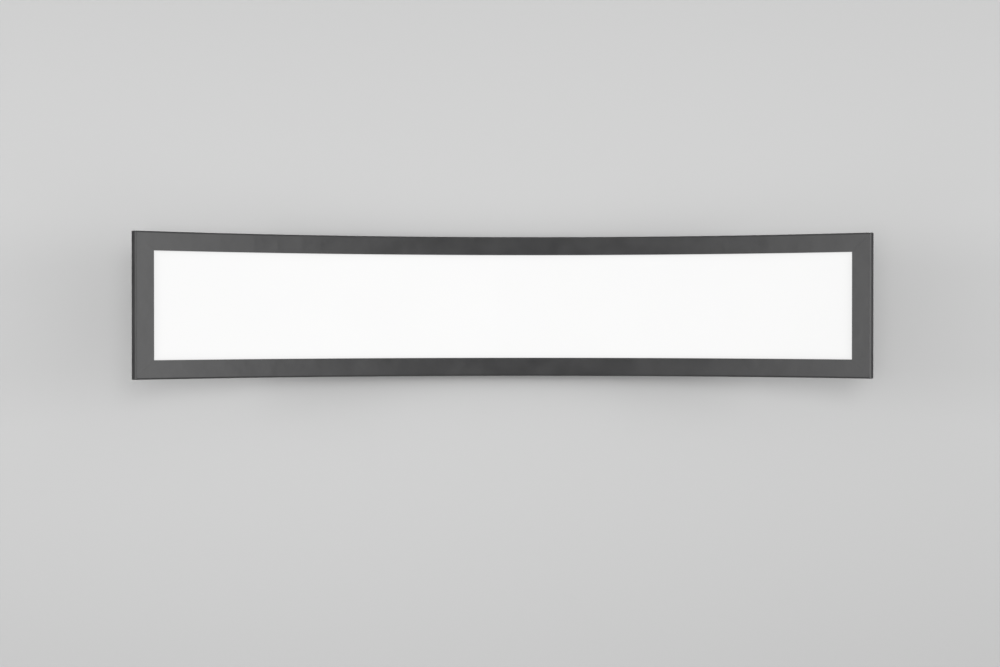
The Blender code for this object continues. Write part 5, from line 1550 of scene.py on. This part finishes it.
STRIP_THICKNESS = 0.0015
STRIP_BEND = 0.0020
STRIP_ARC = STRIP_BEND * math.radians(90)
BEND_STEPS = 6
TAB_FOLD = INNER_X - GAP - STRIP_BEND
FLANGE_FOLD = 0.0105
STRIP_CORNERS = (
    (0.0887, 0.01764, 0.0020),
    (0.0887, 0.0100, 0.0004),
    (0.0902, 0.0100, 0.0004),
    (0.0902, 0.0125, 0.0004),
    (0.13184, 0.0125, 0.0040),
)
FLANGE_END = STRIP_CORNERS[1][0] + MERGED
SLOT_HALF = (0.007, 0.0025)
SLOT_ROUND = SLOT_HALF[1] * 0.99
CEILING_SLOTS = (-0.070, -0.035, 0.035, 0.070)
CABLE_HOLE_X = 0.0525
CABLE_HOLE = 0.006
THUMB_HOLE = 0.0023
THUMB_NUT = (0.00375, 0.0030)
NUT_SINK = 0.0002
NUT_GROOVE = 0.00022


def fold_down(across, fold):
    """How a flat strip's place beyond a fold turns over the bend and down."""
    past = abs(across) - fold
    if past <= 0:
        return across, 0.0
    turn = min(past, STRIP_ARC) / STRIP_BEND
    reach = fold + STRIP_BEND * math.sin(turn)
    drop = STRIP_BEND * (1 - math.cos(turn)) + max(0, past - STRIP_ARC)
    return math.copysign(reach, across), -drop


def fold_strip(bm):
    """Cut the flat strip at its folds and turn its flanges and ends down."""
    steps = [STRIP_ARC * step / BEND_STEPS for step in range(BEND_STEPS + 1)]
    for axis, fold in ((0, TAB_FOLD), (1, FLANGE_FOLD)):
        split_along(bm, axis, [side * (fold + step) for side in (-1, 1) for step in steps])
    for vert in bm.verts:
        x, drop_x = fold_down(vert.co.x, TAB_FOLD)
        y, drop_y = fold_down(vert.co.y, FLANGE_FOLD) if abs(vert.co.x) < FLANGE_END else (vert.co.y, 0)
        vert.co = (x, y, drop_x + drop_y)


strip_outline = filleted(
    [
        (side_x * x, side_y * y, radius)
        for side_x, side_y in ((1, -1), (1, 1), (-1, 1), (-1, -1))
        for x, y, radius in STRIP_CORNERS[:: -side_x * side_y]
    ],
    4,
)
ceiling_slot = rounded_rectangle(*SLOT_HALF, SLOT_ROUND, 6)
tab_hole_x = TAB_FOLD + STRIP_ARC - THUMB_Z - STRIP_BEND
strip_outlines = [
    strip_outline,
    *([(x + point.x, point.y) for point in ceiling_slot] for x in CEILING_SLOTS),
    *(circle(side * tab_hole_x, 0, THUMB_HOLE, 32) for side in (-1, 1)),
    circle(CABLE_HOLE_X, 0, CABLE_HOLE, 40),
]
bracket = changed(flat_solid("ceiling_strip", strip_outlines, 0, 0), fold_strip)
if max(bracket.data.polygons, key=lambda face: face.area).normal.z < 0:
    bracket.data.flip_normals()
walled(bracket, STRIP_THICKNESS)


def thumb_frame(side):
    """On the canopy's end wall, with Z pointing out along the thumb screw."""
    return moved(side * CANOPY_X, 0, THUMB_Z) @ Matrix.Rotation(side * math.radians(90), 4, "Y")


tab_inner = INNER_X - GAP - STRIP_THICKNESS - CANOPY_X
nut_radius, nut_height = THUMB_NUT
nut_low = tab_inner - nut_height
thread_ends = (nut_low - CUT, tab_inner + CUT)
for side in (-1, 1):
    tab_nut = hexagon_nut("tab_nut", nut_radius, THUMB_HOLE, nut_low, nut_height + NUT_SINK)
    combined(tab_nut, threaded("nut_thread", THUMB_HOLE + NUT_GROOVE, *thread_ends, NUT_GROOVE, 32))
    tab_nut.data.transform(thumb_frame(side))
    combined(bracket, tab_nut, "UNION")
finished(bracket, zinc, Matrix(), "zinc_steel", "mounting_bracket", body="bracket")


# Thumb screws and washers
# A knurled, nickel-plated thumb screw with a washer at each end clamps the canopy to
# the bracket. It can be turned by hand or with a driver in its slot.

THUMB_HEAD = 0.0060
THUMB_HEAD_TOP = 0.0096
THUMB_HEAD_INNER = THUMB_HEAD - 0.0006
THUMB_DISH = 0.0005
THUMB_DISH_RIM = (THUMB_HEAD * 0.62, THUMB_HEAD * 0.68)
THUMB_COLLAR = 0.0044
THUMB_COLLAR_TOP = 0.0031
THUMB_SHANK = 0.0020
THUMB_TIP = -0.0078
THUMB_ROUND = 0.0002
SLIT_HALF = (THUMB_HEAD * 0.64, 0.0006)
SLIT_LOW = THUMB_HEAD_TOP - 0.0022
SLIT_ROUND = 0.0003
WASHER_OUTER = 0.0050
WASHER_LOW = GAP
WASHER_HIGH = 0.0013
WASHER_ROUNDS = (0.00008, 0.00030, 0.00010, 0.00008)
KNURL_COUNT = 40
KNURL_DEPTH = 0.00032
KNURL_LOW = 0.0037
KNURL_HIGH = 0.0090
KNURL_EDGE = 0.0001
RIM_SHARE = 0.985

knurl_sizes = {
    "Count": KNURL_COUNT,
    "Depth": KNURL_DEPTH,
    "Rim": THUMB_HEAD,
    "Low": KNURL_LOW,
    "High": KNURL_HIGH,
}
knurl_tree, knurl_in = geometry_tree("Knurled rim", knurl_sizes)
calc = functools.partial(math_node, knurl_tree)
knurl_x, knurl_y, knurl_z = point_axes(knurl_tree)
knurl_turns = calc("MULTIPLY", calc("ARCTAN2", knurl_y, knurl_x), knurl_in["Count"])
knurl_groove = calc("MULTIPLY_ADD", calc("COSINE", knurl_turns), 0.5, -0.5)
knurl_squares = calc("ADD", calc("MULTIPLY", knurl_x, knurl_x), calc("MULTIPLY", knurl_y, knurl_y))
knurl_nearly = calc("MULTIPLY", knurl_in["Rim"], RIM_SHARE)
knurl_on_rim = calc("GREATER_THAN", calc("SQRT", knurl_squares), knurl_nearly)
knurl_over = calc("GREATER_THAN", knurl_z, knurl_in["Low"])
knurl_band = calc("MULTIPLY", knurl_over, calc("LESS_THAN", knurl_z, knurl_in["High"]))
knurl_here = calc("MULTIPLY", knurl_on_rim, knurl_band)
knurl_shift = calc("MULTIPLY", knurl_here, calc("MULTIPLY", knurl_groove, knurl_in["Depth"]))
knurl_share = calc("DIVIDE", knurl_shift, knurl_in["Rim"])
knurl_move = {
    "Geometry": knurl_in["Geometry"],
    "Offset": vector_of(
        knurl_tree,
        X=calc("MULTIPLY", knurl_x, knurl_share),
        Y=calc("MULTIPLY", knurl_y, knurl_share),
    ),
}
ended(knurl_tree, knurl_in, add_node(knurl_tree, "GeometryNodeSetPosition", knurl_move).outputs[0])

nickel_colours = (0.50, 0.48, 0.44), (0.62, 0.60, 0.56)
nickel = metal("nickel plated steel", *nickel_colours, (0.20, 0.32), bump=0.15)
head_profile = filleted(
    [
        (0, THUMB_HEAD_TOP - THUMB_DISH, 0),
        (THUMB_DISH_RIM[0], THUMB_HEAD_TOP - THUMB_DISH, THUMB_ROUND),
        (THUMB_DISH_RIM[1], THUMB_HEAD_TOP, THUMB_ROUND),
        (THUMB_HEAD_INNER, THUMB_HEAD_TOP, THUMB_ROUND),
        (THUMB_HEAD, KNURL_HIGH + KNURL_EDGE, 0),
        (THUMB_HEAD, KNURL_HIGH - KNURL_EDGE, 0),
        (THUMB_HEAD, KNURL_LOW + KNURL_EDGE, 0),
        (THUMB_HEAD, KNURL_LOW - KNURL_EDGE, 0),
        (THUMB_HEAD_INNER, THUMB_COLLAR_TOP, 0),
        (THUMB_COLLAR, THUMB_COLLAR_TOP, THUMB_ROUND),
        (THUMB_COLLAR, WASHER_HIGH + GAP, THUMB_ROUND),
        (0, WASHER_HIGH + GAP, 0),
    ],
    2,
)
for name, side in (("left", -1), ("right", 1)):
    thumb = turned(f"{name}_knurled_screw", head_profile, 4 * KNURL_COUNT)
    formed(thumb, knurl_tree, {"Finish": nickel})
    cut(thumb, *map(span, SLIT_HALF), (SLIT_LOW, THUMB_HEAD_TOP + CUT), SLIT_ROUND)
    combined(thumb, threaded("shank", THUMB_SHANK, THUMB_TIP, WASHER_HIGH + 2 * GAP), "UNION")
    node = f"{name}_thumb_screw"
    finished(thumb, nickel, thumb_frame(side), "nickel_steel", node, body=node)
    washer_sizes = ((THUMB_HOLE, WASHER_OUTER), (WASHER_LOW, WASHER_HIGH), WASHER_ROUNDS)
    washer = flat_ring(f"{name}_flat_washer", *washer_sizes, 2, 48)
    node = f"{name}_washer"
    finished(washer, zinc, thumb_frame(side), "zinc_steel", node, body=node)


# Stage
# A plain ceiling that is seen only from below and a plain pale floor. Soft lamps stand
# beside the camera, to the left and to the right, under a plain sky and a soft sun.

CEILING_Z = 0.0006
CEILING_HALF = 4.0
CEILING_COLOUR = (0.335, 0.335, 0.335, 1)
FLOOR_Z = -2.4
FLOOR_HALF = 45.0
FLOOR_COLOUR = (0.70, 0.70, 0.695, 1)
SKY_STRENGTH = 2.0
SKY_EVEN = (
    (0, 0.42),
    (50, 0.40),
    (75, 0.34),
    (86, 0.68),
    (100, 0.70),
    (122, 0.16),
    (150, 0.18),
    (162, 1.00),
    (180, 1.60),
)
SKY_SIDES = ((0.0, 0.0), (0.1, 0.0), (0.3, 0.16), (0.5, 0.58), (0.62, 1.08), (0.7, 1.5), (1.0, 1.65))
SKY_ACROSS = ((-1.0, 0.5), (-0.8, 0.6), (-0.35, 1.0), (0.35, 1.0), (0.8, 0.08), (1.0, 0.05))
SKY_BELOW = (0.06, 0.3)
SKY_SKEW = 0.08
FRONT_LAMP = (Vector((-0.08, -0.12, -1.95)), (0.9, 0.4), 8.2, 100)
LEFT_LAMP = (Vector((-1.35, -0.12, -0.95)), (0.5, 0.5), 11.5, 180)
RIGHT_LAMP = (Vector((1.35, -0.12, -0.95)), (0.5, 0.5), 10.5, 180)
SUN_POWER = 2.0
SUN_ANGLE = 40
SUN_PLACE = Vector((0.6, -0.9, 2.6))


def stage_plane(name, half, height, colour, facing_down):
    """A square stage plane in matt paint; gives the paint and its shader."""
    corners = [(x * half, y * half, height) for x, y in ((-1, -1), (1, -1), (1, 1), (-1, 1))]
    mesh = bpy.data.meshes.new(name)
    mesh.from_pydata(corners[::-1] if facing_down else corners, [], [(0, 1, 2, 3)])
    plane = new_object(name, mesh)
    plane.visible_diffuse = False
    plane.visible_glossy = False
    plane.visible_shadow = False
    values = {"Base Color": colour, "Roughness": 0.9, "Specular IOR Level": 0.1}
    paint, shader = new_material(f"{name} paint", values)
    mesh.materials.append(paint)
    return paint, shader


plaster, plaster_shader = stage_plane("ceiling", CEILING_HALF, CEILING_Z, CEILING_COLOUR, True)
plaster_tree = plaster.node_tree
two_sides = {
    "Fac": add_node(plaster_tree, "ShaderNodeNewGeometry").outputs["Backfacing"],
    1: plaster_shader.outputs[0],
    2: add_node(plaster_tree, "ShaderNodeBsdfTransparent").outputs[0],
}
one_sided = add_node(plaster_tree, "ShaderNodeMixShader", two_sides).outputs[0]
feed(plaster_tree.nodes["Material Output"], {"Surface": one_sided})
stage_plane("floor", FLOOR_HALF, FLOOR_Z, FLOOR_COLOUR, False)

world = bpy.data.worlds.new("sky")
bpy.context.scene.world = world
world.use_nodes = True
sky = world.node_tree
calc = functools.partial(math_node, sky)
sky_x, sky_y, sky_z = axes_of(sky, add_node(sky, "ShaderNodeTexCoord").outputs["Generated"])
down = calc("MULTIPLY", sky_z, -1.0)
from_nadir = calc("DIVIDE", calc("ARCCOSINE", down), math.pi)
even = grey_ramp(sky, SKY_EVEN, 180, SKY_STRENGTH, from_nadir)
sides = grey_ramp(sky, SKY_SIDES, 1, SKY_STRENGTH, calc("ABSOLUTE", sky_x))
across_stops = [((y + 1) / 2, share) for y, share in SKY_ACROSS]
across = grey_ramp(sky, across_stops, 1, 1, calc("MULTIPLY_ADD", sky_y, 0.5, 0.5))
below = ranged(sky, down, SKY_BELOW)
shade = calc("SUBTRACT", 1.0, calc("MULTIPLY", calc("SUBTRACT", 1.0, across), below))
sides = calc("MULTIPLY", calc("MULTIPLY", sides, across), below)
level = calc("ADD", calc("MULTIPLY", even, shade), sides)
skew = calc("MULTIPLY_ADD", sky_x, SKY_SKEW, 1.0)
feed(sky.nodes["Background"], {"Strength": SKY_STRENGTH, "Color": calc("MULTIPLY", level, skew)})


def lamp(name, kind, place, power):
    """A lamp that looks at the origin."""
    data = bpy.data.lights.new(name, kind)
    data.energy = power
    obj = new_object(name, data)
    obj.location = place
    obj.rotation_mode = "QUATERNION"
    obj.rotation_quaternion = (-place).to_track_quat("-Z", "Y")
    return obj


for lamp_name, (lamp_place, lamp_size, lamp_power, lamp_spread) in (
    ("front_lamp", FRONT_LAMP),
    ("left_lamp", LEFT_LAMP),
    ("right_lamp", RIGHT_LAMP),
):
    soft_lamp = lamp(lamp_name, "AREA", lamp_place, lamp_power)
    soft_lamp.data.shape = "RECTANGLE"
    soft_lamp.data.size, soft_lamp.data.size_y = lamp_size
    soft_lamp.data.spread = math.radians(lamp_spread)
    soft_lamp.visible_glossy = False
sun = lamp("sun", "SUN", SUN_PLACE, SUN_POWER)
sun.data.angle = math.radians(SUN_ANGLE)


# Output
# The picture's colours are kept plain.

bpy.context.scene.view_settings.view_transform = "Standard"
